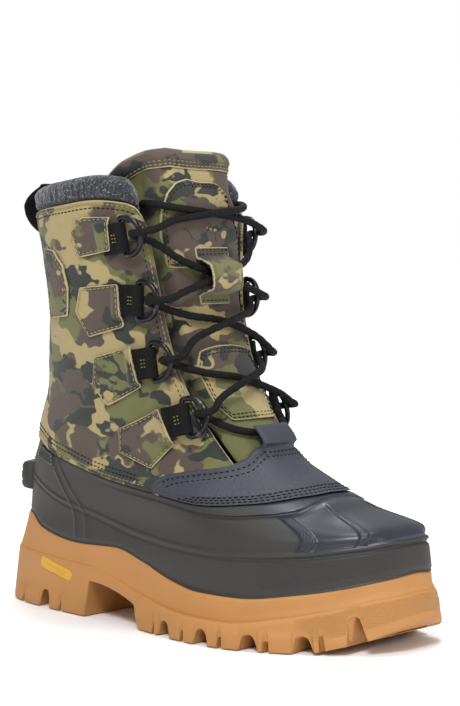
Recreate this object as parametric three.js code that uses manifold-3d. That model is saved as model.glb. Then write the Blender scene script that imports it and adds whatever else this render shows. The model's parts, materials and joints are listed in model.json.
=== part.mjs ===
// Insulated winter hunting boot, right foot. Millimetres, +Z up, toe towards -Y, outer side towards -X.
// The outer form is one skin: a stack of closed sections, read at a height and a place around the boot.
// Every layer (gum sole, rubber shell, quarters, felt liner, patches) is that skin lifted in or out.
import * as THREE from "three";
import { mergeVertices } from "three/addons/utils/BufferGeometryUtils.js";
import Module from "manifold-3d";

const wasm = await Module();
wasm.setup();

// Driving sizes
const SOLE_LENGTH = 310;
const BALL_WIDTH = 110;
const COLLAR_HEIGHT = 245;

// Walls and layers, outwards from the foot
const QUARTER_WALL = 2;
const SHELL_WALL = 2.2;
const SHELL_FLOOR = 3;
const INSULATION_WALL = 1.8;
const FELT_WALL = 6.4;
const FELT_FLOOR = 5.4;
const INSOLE_BOARD = 3;
const FOOTBED = 4;
const GUM_WRAP = 5.2;
const GUM_RIM = 7;
const TONGUE_WALL = 5;
const PATCH_WALL = 1.5;
const SHELL_FLANGE = 8;
const FELT_COLLAR_RISE = 15;

// Lacing hardware
const RING_WIRE = 3.4;
const RING_BAR = 22.6;
const RING_DEPTH = 13.6;
const RING_REST_ANGLE = 20;
const WEBBING = 1.4;
const WEBBING_TAIL = 13;
const LACE = 4.4;

// Clearances
const GAP = 0.35;
const SOFT_GAP = 0.85;
const HINGE_GAP = 0.3;
const TONGUE_POCKET = 7.2;

// Proportions of the last that the sections below are drawn on
const DRAWN_LENGTH = 310;
const DRAWN_WIDTH = 110;
const DRAWN_COLLAR = 245;
const ANKLE = 110;
const along = SOLE_LENGTH / DRAWN_LENGTH;
const across = BALL_WIDTH / DRAWN_WIDTH;
const upward = (COLLAR_HEIGHT - ANKLE) / (DRAWN_COLLAR - ANKLE);

// Sections: height, heel and toe ends, half widths at heel, waist, ball and toe,
// roundness at the back and the front, toe swing towards the inner side, waist hollow of the inner side.
const SECTIONS = [
  [0, 153, -157, 44, 47, 62, 50, 0.62, 0.62, 9, 0.2],
  [40, 146, -148.5, 44, 47, 60, 50, 0.62, 0.62, 9, 0.14],
  [60, 140, -146, 42, 45, 57, 47, 0.62, 0.62, 9, 0.12],
  [76, 138.5, -107.5, 41, 44, 54, 44, 0.62, 0.62, 8, 0.1],
  [88, 137.5, -78, 41, 43, 50, 41, 0.66, 0.63, 6, 0.08],
  [100, 133, -58.5, 41, 43, 47, 38, 0.7, 0.62, 4, 0.06],
  [115, 130, -46, 42, 43.5, 45.5, 42, 0.75, 0.6, 1.5, 0.04],
  [135, 122, -30, 43, 44.5, 45, 45.5, 0.8, 0.55, 0.5, 0.02],
  [160, 118.5, -16, 45, 47, 47, 46, 0.84, 0.52, 0, 0],
  [190, 116.5, -7, 47, 50, 50, 47, 0.86, 0.5, 0, 0],
  [220, 120, -3, 49, 53, 54, 53, 0.86, 0.5, 0, 0],
  [245, 125.5, 0, 50, 55, 57, 59, 0.86, 0.5, 0, 0],
  [290, 128.5, 3, 50, 56, 58, 60, 0.86, 0.5, 0, 0],
];
const STATIONS = [0, 0.38, 0.72, 1];

const clamp = THREE.MathUtils.clamp;
const mix = THREE.MathUtils.lerp;
const smooth = (value, from, to) => THREE.MathUtils.smoothstep(value, from, to);
const bell = (value, centre, width) => Math.exp(-(((value - centre) / width) ** 2));

// Monotone cubic through points: it never swings past them.
function line(points) {
  const xs = points.map((p) => p[0]);
  const ys = points.map((p) => p[1]);
  const last = xs.length - 1;
  const chord = xs.slice(1).map((x, i) => (ys[i + 1] - ys[i]) / (x - xs[i]));
  const slope = xs.map((x, i) => {
    if (i === 0) return chord[0];
    if (i === last) return chord[last - 1];
    const [before, after] = [chord[i - 1], chord[i]];
    return before * after <= 0 ? 0 : (2 * before * after) / (before + after);
  });
  return (value) => {
    const x = clamp(value, xs[0], xs[last]);
    let i = 0;
    while (i < last - 1 && x > xs[i + 1]) i += 1;
    const width = xs[i + 1] - xs[i];
    const s = (x - xs[i]) / width;
    const rise = ys[i + 1] - ys[i];
    const bend = s * (1 - s) * width;
    return (
      ys[i] +
      rise * s * s * (3 - 2 * s) +
      bend * ((1 - s) * slope[i] - s * slope[i + 1])
    );
  };
}
const columns = SECTIONS[0].slice(1).map((_, k) => line(SECTIONS.map((row) => [row[0], row[k + 1]])));

// Half width along a section, a cubic through the four stations.
function halfWidth(t, widths) {
  const tangents = widths.map((w, i) => {
    const a = Math.max(i - 1, 0);
    const b = Math.min(i + 1, 3);
    return (widths[b] - widths[a]) / (STATIONS[b] - STATIONS[a]);
  });
  const i = t < STATIONS[1] ? 0 : t < STATIONS[2] ? 1 : 2;
  const span = STATIONS[i + 1] - STATIONS[i];
  const s = (t - STATIONS[i]) / span;
  return (
    (2 * s ** 3 - 3 * s ** 2 + 1) * widths[i] +
    (s ** 3 - 2 * s ** 2 + s) * span * tangents[i] +
    (-2 * s ** 3 + 3 * s ** 2) * widths[i + 1] +
    (s ** 3 - s ** 2) * span * tangents[i + 1]
  );
}

// A point of the section at a drawn height. turn: 0 heel, 0.5 outer side, 1 toe, 1.5 inner side, 2 heel.
function sectionPoint(level, turn) {
  const wrapped = ((turn % 2) + 2) % 2;
  const side = wrapped > 1 ? 1 : -1;
  const angle = Math.PI * (wrapped > 1 ? 2 - wrapped : wrapped);
  const [back, front, heel, waist, ball, toe, backRound, frontRound, swing, hollow] = columns.map((c) =>
    c(level),
  );
  const t = (1 - Math.cos(angle)) / 2;
  const roundness = mix(backRound, frontRound, smooth(t, 0, 1));
  const narrowed = side > 0 ? 1 - hollow * bell(t, 0.42, 0.2) : 1;
  const width = halfWidth(t, [heel, waist, ball, toe]) * narrowed;
  const x = side * width * Math.max(Math.sin(angle), 0) ** roundness + swing * t * t;
  return [x * across, mix(back, front, t) * along];
}

// The skin, lifted outwards (or inwards, when lift is negative) by a distance.
function skin(level, turn, lift = 0) {
  const step = 0.002;
  const from = level - 0.6 * lift;
  const [x, y] = sectionPoint(from, turn);
  const [ax, ay] = sectionPoint(from, turn - step);
  const [bx, by] = sectionPoint(from, turn + step);
  const length = Math.hypot(bx - ax, by - ay);
  const height = level <= ANKLE ? level : ANKLE + (level - ANKLE) * upward;
  return new THREE.Vector3(x + (lift * (by - ay)) / length, y - (lift * (bx - ax)) / length, height);
}

// Lines along the boot: drawn height by place around it, the same on both sides.
const fold = (turn) => {
  const wrapped = ((turn % 2) + 2) % 2;
  return wrapped > 1 ? 2 - wrapped : wrapped;
};
const folded = (points) => {
  const height = line(points);
  return (turn) => height(fold(turn));
};
const tread = folded([
  [0, 0],
  [0.366, 0],
  [0.374, 22],
  [0.468, 14],
  [0.486, 0],
  [0.736, 0],
  [0.8, 4],
  [0.88, 10],
  [0.95, 15],
  [1, 17],
]);
const recess = folded([
  [0, 24],
  [0.36, 27],
  [0.42, 26],
  [0.5, 19],
  [0.6, 10],
  [0.74, 10],
  [0.82, 15],
  [0.9, 20],
  [1, 26],
]);
const bed = folded([
  [0, 37.5],
  [0.36, 34],
  [0.45, 30],
  [0.52, 25],
  [0.6, 20.5],
  [0.74, 22.5],
  [0.85, 30],
  [1, 35],
]);
const soleStep = folded([
  [0, 36],
  [0.37, 32],
  [0.48, 21],
  [0.56, 15],
  [0.63, 14],
  [0.71, 18.5],
  [0.79, 24.5],
  [0.9, 31.5],
  [1, 33.5],
]);
const gumTop = folded([
  [0, 57],
  [0.14, 56],
  [0.22, 49],
  [0.34, 44],
  [0.42, 45],
  [0.48, 39.5],
  [0.535, 32],
  [0.585, 28],
  [0.65, 27.5],
  [0.74, 31.5],
  [0.815, 36],
  [0.9, 40.5],
  [1, 43.5],
]);
const hem = folded([
  [0, 105],
  [0.18, 103.5],
  [0.29, 96],
  [0.36, 92],
  [0.46, 85],
  [0.555, 81],
  [0.64, 77],
  [0.745, 79],
  [0.9, 83],
  [1, 84],
]);
const vampTop = folded([
  [0.555, 81.6],
  [0.618, 90],
  [0.692, 96.5],
  [0.793, 101.5],
  [0.897, 106],
  [0.962, 108.5],
  [1, 109],
]);
const quarterTop = folded([
  [0, 243],
  [0.233, 245.5],
  [0.468, 250],
  [0.618, 253],
  [0.723, 251.5],
  [0.77, 249],
  [0.8, 243],
  [0.812, 236],
]);
const tongueTop = folded([
  [0.62, 262],
  [0.7, 270],
  [0.78, 276.5],
  [0.9, 282],
  [1, 284],
]);
const VAMP_START = 0.555;
const THROAT_EDGE = 0.812;
const FELT_EDGE = 0.782;
const TAB_HALF = 0.047;
const TAB_TOP = 121;
const FELT_FRONT = 95;

const raise = (height, by) => (turn) => height(turn) + by;

// Lifts of the layers, each a clearance inside the last
const QUARTER_OUT = 0.8;
const QUARTER_IN = QUARTER_OUT - QUARTER_WALL;
const SHELL_TUCK = QUARTER_IN - 0.5;
const SHELL_IN = SHELL_TUCK - SHELL_WALL;
const INSULATION_OUT = QUARTER_IN - SOFT_GAP;
const INSULATION_IN = INSULATION_OUT - INSULATION_WALL;
const FELT_OUT = Math.min(SHELL_IN, INSULATION_IN) - SOFT_GAP - 0.2;
const FELT_IN = FELT_OUT - FELT_WALL;
const WRAP_OUT = 1.2;
const WRAP_IN = WRAP_OUT - GUM_WRAP;
const SHELL_LOW = WRAP_IN - GAP;
const SHELL_LOW_IN = SHELL_LOW - SHELL_WALL - 0.6;
const FELT_LOW = SHELL_LOW_IN - SOFT_GAP - 0.3;

// Extra width of the sole at the outer ball and a little at the inner one
const ballFlare = (turn) => {
  const wrapped = ((turn % 2) + 2) % 2;
  return wrapped > 1 ? 2.5 * bell(wrapped, 1.4, 0.12) : 6.5 * bell(wrapped, 0.62, 0.13);
};

// Mesh work
function geometryOf(vertices, triangles) {
  const positions = new Float32Array(vertices.flatMap((v) => [v.x, v.y, v.z]));
  const geometry = new THREE.BufferGeometry();
  geometry.setAttribute("position", new THREE.BufferAttribute(positions, 3));
  geometry.setIndex(triangles.flat());
  return geometry;
}

function solidOf(geometry) {
  const bare = geometry.clone();
  bare.deleteAttribute("normal");
  bare.deleteAttribute("uv");
  const merged = mergeVertices(bare, 1e-4);
  return new wasm.Manifold(
    new wasm.Mesh({
      numProp: 3,
      vertProperties: merged.attributes.position.array,
      triVerts: new Uint32Array(merged.index.array),
    }),
  );
}

function geometryFrom(solid) {
  const mesh = solid.getMesh();
  const geometry = new THREE.BufferGeometry();
  geometry.setAttribute("position", new THREE.BufferAttribute(mesh.vertProperties, mesh.numProp));
  geometry.setIndex(new THREE.BufferAttribute(mesh.triVerts, 1));
  return geometry;
}

const cut = (geometry, ...tools) =>
  geometryFrom(tools.reduce((solid, tool) => solid.subtract(solidOf(tool)), solidOf(geometry)));
const join = (...pieces) => geometryFrom(pieces.map(solidOf).reduce((all, piece) => all.add(piece)));

// A wall lofted along turns. outer and inner are rows from bottom to top, each a function of turn that
// gives a point. With inner rows the wall is a band; closed bands go all the way round.
function band(turns, outer, inner, closed = false) {
  const rows = [...outer, ...[...inner].reverse()];
  const vertices = turns.flatMap((turn) => rows.map((row) => row(turn)));
  const at = (i, j) => (i % turns.length) * rows.length + (j % rows.length);
  const triangles = [];
  const steps = closed ? turns.length : turns.length - 1;
  for (let i = 0; i < steps; i += 1) {
    for (let j = 0; j < rows.length; j += 1) {
      triangles.push([at(i, j), at(i + 1, j), at(i + 1, j + 1)]);
      triangles.push([at(i, j), at(i + 1, j + 1), at(i, j + 1)]);
    }
  }
  if (!closed) {
    const end = turns.length - 1;
    const ladder = Math.max(outer.length, inner.length);
    const outerAt = (k) => Math.min(k, outer.length - 1);
    const innerAt = (k) => rows.length - 1 - Math.min(k, inner.length - 1);
    for (let k = 0; k < ladder - 1; k += 1) {
      const [a, b, c, d] = [outerAt(k), outerAt(k + 1), innerAt(k + 1), innerAt(k)];
      if (a !== b) {
        triangles.push([at(0, a), at(0, b), at(0, c)]);
        triangles.push([at(end, a), at(end, c), at(end, b)]);
      }
      if (c !== d) {
        triangles.push([at(0, a), at(0, c), at(0, d)]);
        triangles.push([at(end, a), at(end, d), at(end, c)]);
      }
    }
  }
  return geometryOf(vertices, triangles);
}

// A closed form over an even ring of turns. Rows run up the outside, then down the inside for a cup;
// the first and last rows are closed straight across the boot, so a cup has a floor and a slab a top.
function vessel(turns, rows) {
  const count = turns.length;
  const vertices = rows.flatMap((row) => turns.map((turn) => row(turn)));
  const at = (j, i) => j * count + (i % count);
  const triangles = [];
  for (let j = 0; j < rows.length - 1; j += 1) {
    for (let i = 0; i < count; i += 1) {
      triangles.push([at(j, i), at(j, i + 1), at(j + 1, i + 1)]);
      triangles.push([at(j, i), at(j + 1, i + 1), at(j + 1, i)]);
    }
  }
  const top = rows.length - 1;
  for (let i = 0; i < count / 2; i += 1) {
    const [a, b, c, d] = [i, i + 1, count - i - 1, count - i];
    if (i > 0) {
      triangles.push([at(top, a), at(top, b), at(top, d)]);
      triangles.push([at(0, a), at(0, d), at(0, b)]);
    }
    if (b !== c) {
      triangles.push([at(top, b), at(top, c), at(top, d)]);
      triangles.push([at(0, b), at(0, d), at(0, c)]);
    }
  }
  return geometryOf(vertices, triangles);
}

const row = (height, lift) => (turn) =>
  skin(height(turn), turn, typeof lift === "function" ? lift(turn) : lift);
const rowsBetween = (low, high, count, lift) =>
  Array.from({ length: count + 1 }, (_, k) => row((turn) => mix(low(turn), high(turn), k / count), lift));
const spread = (from, to, count) => Array.from({ length: count + 1 }, (_, i) => mix(from, to, i / count));

// Places around the boot that every layer is drawn at, so that nested walls keep their gap
const OUTER_TURNS = [
  ...spread(0, 0.3, 5),
  0.366,
  0.374,
  0.42,
  0.468,
  0.486,
  0.555,
  0.61,
  0.665,
  0.72,
  0.782,
  0.812,
  0.85,
  0.9,
  0.95,
  1,
];
const otherSide = (turns) => turns.map((turn) => 2 - turn).reverse();
const AROUND = [...OUTER_TURNS, ...otherSide(OUTER_TURNS.slice(1, -1))];
const between = (from, to) => OUTER_TURNS.filter((turn) => turn > from && turn < to);

// Heights that the nested layers share: below the hem and above it
const LOWER_ROWS = 4;
const UPPER_SHARES = [0, 0.08, 0.17, 0.3, 0.5, 0.75, 1];
const UPPER_ROWS = UPPER_SHARES.length - 1;
const lowerLine = (k) => (turn) => mix(gumTop(turn) + 4.6, hem(turn), k / LOWER_ROWS);
const upperLine = (k) => (turn) => mix(hem(turn) + SHELL_FLANGE, quarterTop(turn), UPPER_SHARES[k]);
const lowerRows = (lift, from = 0, to = LOWER_ROWS) =>
  Array.from({ length: to - from + 1 }, (_, i) => row(lowerLine(from + i), lift));
const upperRows = (lift, low, from = 0, to = UPPER_ROWS) =>
  Array.from({ length: to - from + 1 }, (_, i) =>
    row((turn) => Math.max(upperLine(from + i)(turn), low(turn) + 0.3 * (i + 1)), lift),
  );

// A many-sided plate on the skin, from its corners (turn, height), between two lifts.
function plate(outline, inner, outer, cuts = 3) {
  const area = outline.reduce((sum, [turn, level], i) => {
    const [nextTurn, nextLevel] = outline[(i + 1) % outline.length];
    return sum + turn * nextLevel - nextTurn * level;
  }, 0);
  const corners = area > 0 ? outline : [...outline].reverse();
  const edge = corners.flatMap((corner, i) => {
    const next = corners[(i + 1) % corners.length];
    return Array.from({ length: cuts }, (_, k) => [
      mix(corner[0], next[0], k / cuts),
      mix(corner[1], next[1], k / cuts),
    ]);
  });
  const centre = [0, 1].map((k) => edge.reduce((sum, p) => sum + p[k], 0) / edge.length);
  const half = edge.map((p) => [mix(centre[0], p[0], 0.55), mix(centre[1], p[1], 0.55)]);
  const sheet = [centre, ...half, ...edge];
  const count = edge.length;
  const vertices = [outer, inner].flatMap((lift) =>
    sheet.map(([turn, level]) =>
      skin(level, turn, typeof lift === "function" ? lift(turn, level) : lift),
    ),
  );
  const far = sheet.length;
  const triangles = [];
  for (let i = 0; i < count; i += 1) {
    const n = (i + 1) % count;
    const faces = [
      [0, 1 + i, 1 + n],
      [1 + i, 1 + count + i, 1 + count + n],
      [1 + i, 1 + count + n, 1 + n],
    ];
    faces.forEach(([a, b, c]) => {
      triangles.push([a, b, c]);
      triangles.push([far + a, far + c, far + b]);
    });
    const [a, b] = [1 + count + i, 1 + count + n];
    triangles.push([a, far + a, far + b]);
    triangles.push([a, far + b, b]);
  }
  return geometryOf(vertices, triangles);
}
const mirrored = (corners) => corners.map(([turn, level]) => [2 - turn, level]);

// The object
const boot = new THREE.Group();
function add(name, geometry, colour, roughness, metalness = 0) {
  const material = new THREE.MeshStandardMaterial({ color: colour, roughness, metalness });
  const mesh = new THREE.Mesh(geometry, material);
  mesh.name = name;
  boot.add(mesh);
  return mesh;
}

// Sole
const GUM = 0xc98748;
const outsoleLift = (turn) => 1.6 + ballFlare(turn);
const LUG_DEPTH = 9;
const GROOVE = 8.5;

function acrossBar(y, radius, height, turned = 0) {
  const shape = new THREE.Shape();
  shape.moveTo(-radius, -6);
  shape.lineTo(radius, -6);
  shape.lineTo(radius, height - radius);
  shape.absarc(0, height - radius, radius, 0, Math.PI, false);
  const bar = new THREE.ExtrudeGeometry(shape, { depth: 200, bevelEnabled: false, curveSegments: 4 });
  bar.translate(0, 0, -100);
  bar.rotateX(Math.PI / 2);
  bar.rotateZ(Math.PI / 2 + turned);
  bar.translate(0, y, 0);
  return bar;
}
function lengthwiseBar(x, from, to) {
  const bar = new THREE.BoxGeometry(5, from - to, LUG_DEPTH - 2);
  return bar.translate(x, (from + to) / 2, (LUG_DEPTH - 2) / 2 - 1);
}
const grooves = [-22, -51, -79, -106].map((y, i) =>
  acrossBar(y * along, GROOVE / 2, LUG_DEPTH + (i === 3 ? 0.5 : 0), 0.06 * (i - 1)),
);
const outsole = cut(
  vessel(AROUND, [row(tread, outsoleLift), row(soleStep, outsoleLift)]),
  vessel(AROUND, [row(recess, -GUM_RIM), row(raise(soleStep, 9), -GUM_RIM)]),
  ...grooves,
  acrossBar(105 * along, GROOVE / 2, LUG_DEPTH + 2),
  acrossBar(-135 * along, GROOVE / 2 - 1, LUG_DEPTH + 8),
  lengthwiseBar(-16 * across, -14 * along, -116 * along),
  lengthwiseBar(22 * across, -14 * along, -116 * along),
  lengthwiseBar(0, 150 * along, 72 * along),
);
add("outsole", outsole, GUM, 0.62);

const wrapLift = (turn) => WRAP_OUT + 0.4 * ballFlare(turn);
const wrapBottom = raise(soleStep, GAP);
add(
  "midsole_wrap",
  band(
    AROUND,
    rowsBetween(wrapBottom, gumTop, 2, wrapLift),
    rowsBetween(wrapBottom, gumTop, 1, WRAP_IN),
    true,
  ),
  GUM,
  0.62,
);

const foamInset = -GUM_RIM - SOFT_GAP;
const SHANK_LENGTH = 80;
const SHANK_WIDTH = 16;
const SHANK_HEIGHT = 2;
const shankAt = new THREE.Vector3(2, 60 * along, mix(recess(0.375), bed(0.375), 0.5));
const shank = (grow) =>
  new THREE.BoxGeometry(SHANK_WIDTH + 2 * grow, SHANK_LENGTH + 2 * grow, SHANK_HEIGHT + 2 * grow)
    .rotateX(0.07)
    .translate(shankAt.x, shankAt.y, shankAt.z);
const foamBottom = raise(recess, GAP);
const foamTop = raise(bed, -SOFT_GAP - 1.2);
const slotMouth = shank(GAP).translate(0, 0, SHANK_HEIGHT);
add(
  "midsole_foam",
  cut(vessel(AROUND, [row(foamBottom, foamInset), row(foamTop, foamInset - 1.5)]), shank(GAP), slotMouth),
  0xd8d2c4,
  0.9,
);
add("shank", shank(0), 0x8d9196, 0.35, 0.9);

// Rubber shell: a waterproof cup with a flange that the upper is sewn over
const RUBBER = 0x3c3d43;
const joggle = (above) => (turn) => Math.max(gumTop(turn) - 3, bed(turn) + above + 0.4);
const shell = vessel(AROUND, [
  row(bed, SHELL_LOW - 3),
  row(raise(bed, 3), SHELL_LOW),
  row(raise(gumTop, GAP), SHELL_LOW),
  row(raise(gumTop, GAP), 0),
  ...lowerRows(0, 0, LOWER_ROWS - 1),
  row(raise(hem, -GAP), 0),
  row(raise(hem, -GAP), SHELL_TUCK),
  row(raise(hem, SHELL_FLANGE), SHELL_TUCK),
  row(raise(hem, SHELL_FLANGE), SHELL_IN),
  ...lowerRows(SHELL_IN).reverse(),
  row(joggle(SHELL_FLOOR + 2), SHELL_LOW_IN),
  row(raise(bed, SHELL_FLOOR + 2), SHELL_LOW_IN),
  row(raise(bed, SHELL_FLOOR), SHELL_LOW_IN - 2.5),
]);
const HEEL_TAB_WIDTH = 34;
const HEEL_TAB_REACH = 9;
const heelTab = () => {
  const outline = new THREE.Shape();
  outline.moveTo(-4, 0);
  outline.lineTo(HEEL_TAB_REACH - 2, 6);
  outline.quadraticCurveTo(HEEL_TAB_REACH, 7, HEEL_TAB_REACH, 9);
  outline.lineTo(HEEL_TAB_REACH - 1, 15);
  outline.quadraticCurveTo(HEEL_TAB_REACH - 1.5, 17, HEEL_TAB_REACH - 4, 17);
  outline.lineTo(-4, 17);
  const solid = new THREE.ExtrudeGeometry(outline, {
    depth: HEEL_TAB_WIDTH,
    bevelEnabled: false,
    curveSegments: 3,
  });
  solid.translate(0, 0, -HEEL_TAB_WIDTH / 2);
  solid.rotateX(Math.PI / 2);
  solid.rotateZ(Math.PI / 2);
  return solid.translate(0, skin(79, 0).y + 1.5, 70);
};
const bowl = vessel(AROUND, [
  row(raise(bed, SHELL_FLOOR + 2), SHELL_IN),
  row(raise(hem, SHELL_FLANGE + 4), SHELL_IN),
]);
add("rubber_shell", join(shell, cut(heelTab(), bowl)), RUBBER, 0.5);

// Insole board, liner and footbed
const boardBottom = raise(bed, SHELL_FLOOR + GAP);
const boardTop = raise(boardBottom, INSOLE_BOARD);
const boardInset = SHELL_LOW_IN - 3.2;
add(
  "insole_board",
  vessel(AROUND, [row(boardBottom, boardInset), row(boardTop, boardInset)]),
  0xb9b2a0,
  0.95,
);

const linerBottom = raise(boardTop, GAP);
const cavityFloor = raise(linerBottom, FELT_FLOOR);
const collarTop = (turn) => {
  const front = smooth(fold(turn), 0.72, 0.8);
  return quarterTop(Math.min(fold(turn), 0.77)) + FELT_COLLAR_RISE - 5 * front;
};
const collarSeat = raise(quarterTop, GAP + 0.3);
const liner = vessel(AROUND, [
  row(linerBottom, FELT_LOW - 3),
  row(raise(linerBottom, 3), FELT_LOW),
  row(joggle(SHELL_FLOOR + INSOLE_BOARD + 2 * GAP + 3), FELT_LOW),
  ...lowerRows(FELT_OUT),
  ...upperRows(FELT_OUT, hem, 0, UPPER_ROWS - 1),
  row(collarSeat, FELT_OUT),
  row(collarSeat, -0.4),
  row(raise(collarTop, -4), 0),
  row(collarTop, -4),
  row(collarTop, -8),
  row(raise(collarTop, -5), FELT_IN - 0.8),
  ...upperRows(FELT_IN, hem, 0, UPPER_ROWS).reverse(),
  ...lowerRows(FELT_IN, 2).reverse(),
  row(raise(cavityFloor, 5), FELT_LOW - FELT_WALL),
  row(cavityFloor, FELT_LOW - FELT_WALL - 2.5),
]);
const throatHalf = [FELT_EDGE, ...between(FELT_EDGE, 1), 1];
const throatTurns = [...throatHalf, ...otherSide(throatHalf.slice(0, -1))];
const throatFoot = () => FELT_FRONT;
const throatHead = () => 300;
const throat = band(
  throatTurns,
  rowsBetween(throatFoot, throatHead, 9, 6),
  rowsBetween(throatFoot, throatHead, 9, FELT_IN - 3),
);
add("felt_liner", cut(liner, throat), 0x3a3b40, 0.98);

add(
  "footbed",
  vessel(AROUND, [
    row(raise(cavityFloor, GAP), FELT_LOW - FELT_WALL - 3.4),
    row(raise(cavityFloor, FOOTBED), FELT_LOW - FELT_WALL - 2.8),
  ]),
  0x77787c,
  0.95,
);

// Upper: insulation layer, two quarters and the leather vamp
const shaftTurns = [0, ...between(0, FELT_EDGE), FELT_EDGE];
const insulationTurns = [...shaftTurns.slice(1).reverse().map((turn) => -turn), ...shaftTurns];
const insulationBottom = raise(hem, SHELL_FLANGE + GAP);
const insulationTop = raise(quarterTop, -1.5);
const insulationRows = (lift) => [
  row(insulationBottom, lift),
  ...upperRows(lift, insulationBottom, 1, UPPER_ROWS - 1),
  row(insulationTop, lift),
];
add(
  "shaft_insulation",
  band(insulationTurns, insulationRows(INSULATION_OUT), insulationRows(INSULATION_IN)),
  0xd9d6cc,
  0.98,
);

const CAMO = 0x7d7450;
const BACK_SEAM = 0.0007;
const quarterLow = (turn) =>
  fold(turn) < VAMP_START ? hem(turn) : Math.max(vampTop(turn), hem(turn)) + 0.2 + GAP;
const quarterRows = (lift) => [row(quarterLow, lift), ...upperRows(lift, quarterLow)];
const quarterTurns = [BACK_SEAM, ...between(0.01, THROAT_EDGE), THROAT_EDGE];
const quarter = (turns) => band(turns, quarterRows(QUARTER_OUT), quarterRows(QUARTER_IN));
add("quarter_outer", quarter(quarterTurns), CAMO, 0.85);
add("quarter_inner", quarter(otherSide(quarterTurns)), CAMO, 0.85);

const onTab = (turn) => Math.abs(1 - fold(turn)) < TAB_HALF + 0.0005;
const vampHalf = [
  VAMP_START + 0.004,
  ...between(VAMP_START, 1 - TAB_HALF - 0.01),
  1 - TAB_HALF - 0.006,
  1 - TAB_HALF,
  1,
];
const vampTurns = [...vampHalf, ...otherSide(vampHalf.slice(0, -1))];
const TAB_LIFT = 5.1;
const vampRows = (base) => {
  const lift = (turn) => base + (onTab(turn) ? TAB_LIFT : 0);
  return [
    ...rowsBetween(hem, vampTop, 3, base),
    row((turn) => vampTop(turn) + (onTab(turn) ? 3 : 0.1), lift),
    row((turn) => (onTab(turn) ? TAB_TOP : vampTop(turn) + 0.2), lift),
  ];
};
add("vamp_overlay", band(vampTurns, vampRows(QUARTER_OUT), vampRows(QUARTER_IN)), 0x34353b, 0.45);

// Tongue: rounder than the shaft, so that its sides pass inside the felt
const TONGUE_FACE = -1.6;
const TONGUE_ROOT_WALL = 1.6;
const TONGUE_ROOT_FACE = -2.3;
const tongueHalf = line([
  [96, 0.17],
  [112, 0.17],
  [125, 0.185],
  [140, 0.24],
  [155, 0.29],
  [200, 0.31],
  [245, 0.35],
  [284, 0.36],
]);
const pocket = FELT_IN - TONGUE_POCKET;
const tongueLift = (level, turn) =>
  mix(
    mix(TONGUE_ROOT_FACE, TONGUE_FACE, smooth(level, 110, 120)),
    pocket,
    smooth(Math.abs(turn - 1), 0.1, 0.205) * smooth(level, 112, 137),
  );
const tongueWall = (level) => mix(TONGUE_ROOT_WALL, TONGUE_WALL, smooth(level, 113, 124));
const tonguePoint = (level, u, depth) => {
  const turn = 1 + u * tongueHalf(level);
  return skin(level, turn, tongueLift(level, turn) + depth);
};
const tongueSides = spread(-1, 1, 18);
const PANEL_DROPS = [22, 13, 5];
const tongueLevels = [96, 104, 112, 119, 127, 137, 155, 180, 205, 228];
const tongueRows = (depth) => [
  ...tongueLevels.map((level) => (u) => tonguePoint(level, u, depth(level))),
  ...PANEL_DROPS.map((drop) => (u) => tonguePoint(tongueTop(1 + 0.36 * u) - drop, u, depth(COLLAR_HEIGHT))),
];
const tongueCrown = [
  (u) => tonguePoint(tongueTop(1 + 0.36 * u), u, -0.3 * TONGUE_WALL),
  (u) => tonguePoint(tongueTop(1 + 0.36 * u), u, -0.7 * TONGUE_WALL),
];
add(
  "tongue",
  band(
    tongueSides,
    [...tongueRows(() => 0), tongueCrown[0]],
    [...tongueRows((level) => -tongueWall(level)), tongueCrown[1]],
  ),
  CAMO,
  0.85,
);

const ON_TONGUE = 1.1;
const onTongue = (by) => (turn, level) => tongueLift(level, turn) + by;
const panelSides = tongueSides.map((u) => 0.98 * u);
const panelRow = (drop, lift) => (u) => tonguePoint(tongueTop(1 + 0.36 * u) - drop, u, lift);
add(
  "tongue_top_panel",
  band(
    panelSides,
    PANEL_DROPS.map((drop) => panelRow(drop, GAP + 0.2 + ON_TONGUE)),
    PANEL_DROPS.map((drop) => panelRow(drop, GAP + 0.2)),
  ),
  CAMO,
  0.85,
);

const tonguePatch = [
  [0.915, 212],
  [0.908, 238],
  [0.93, 253],
  [1, 262],
  [1.07, 253],
  [1.092, 238],
  [1.085, 212],
];
add(
  "tongue_patch",
  plate(tonguePatch, onTongue(GAP + 0.4), onTongue(GAP + 0.4 + ON_TONGUE), 3),
  0x8a7f52,
  0.85,
);
const lowerPanel = [
  [0.925, 124],
  [0.895, 135],
  [0.893, 155],
  [0.93, 164],
  [1, 167],
  [1.07, 164],
  [1.107, 155],
  [1.105, 135],
  [1.075, 124],
];
add(
  "tongue_lower_panel",
  plate(lowerPanel, onTongue(GAP + 0.4), onTongue(GAP + 0.4 + ON_TONGUE), 3),
  CAMO,
  0.85,
);

// Strap on the tongue that the second crossing of the lace passes under
const KEEPER_HALF = 0.024;
const KEEPER_WALL = 1.3;
const keeperLine = [
  [191, 0.7],
  [196, 0.7],
  [200.5, 12.2],
  [214.5, 12.2],
  [219.5, 2.1],
  [225, 2.1],
];
const keeperRows = (wall) =>
  keeperLine.map(([level, lift]) => row(() => level, TONGUE_FACE + lift + wall));
add(
  "lace_keeper",
  band(spread(1 - KEEPER_HALF, 1 + KEEPER_HALF, 4), keeperRows(KEEPER_WALL), keeperRows(0)),
  0x7a5f45,
  0.85,
);

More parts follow.
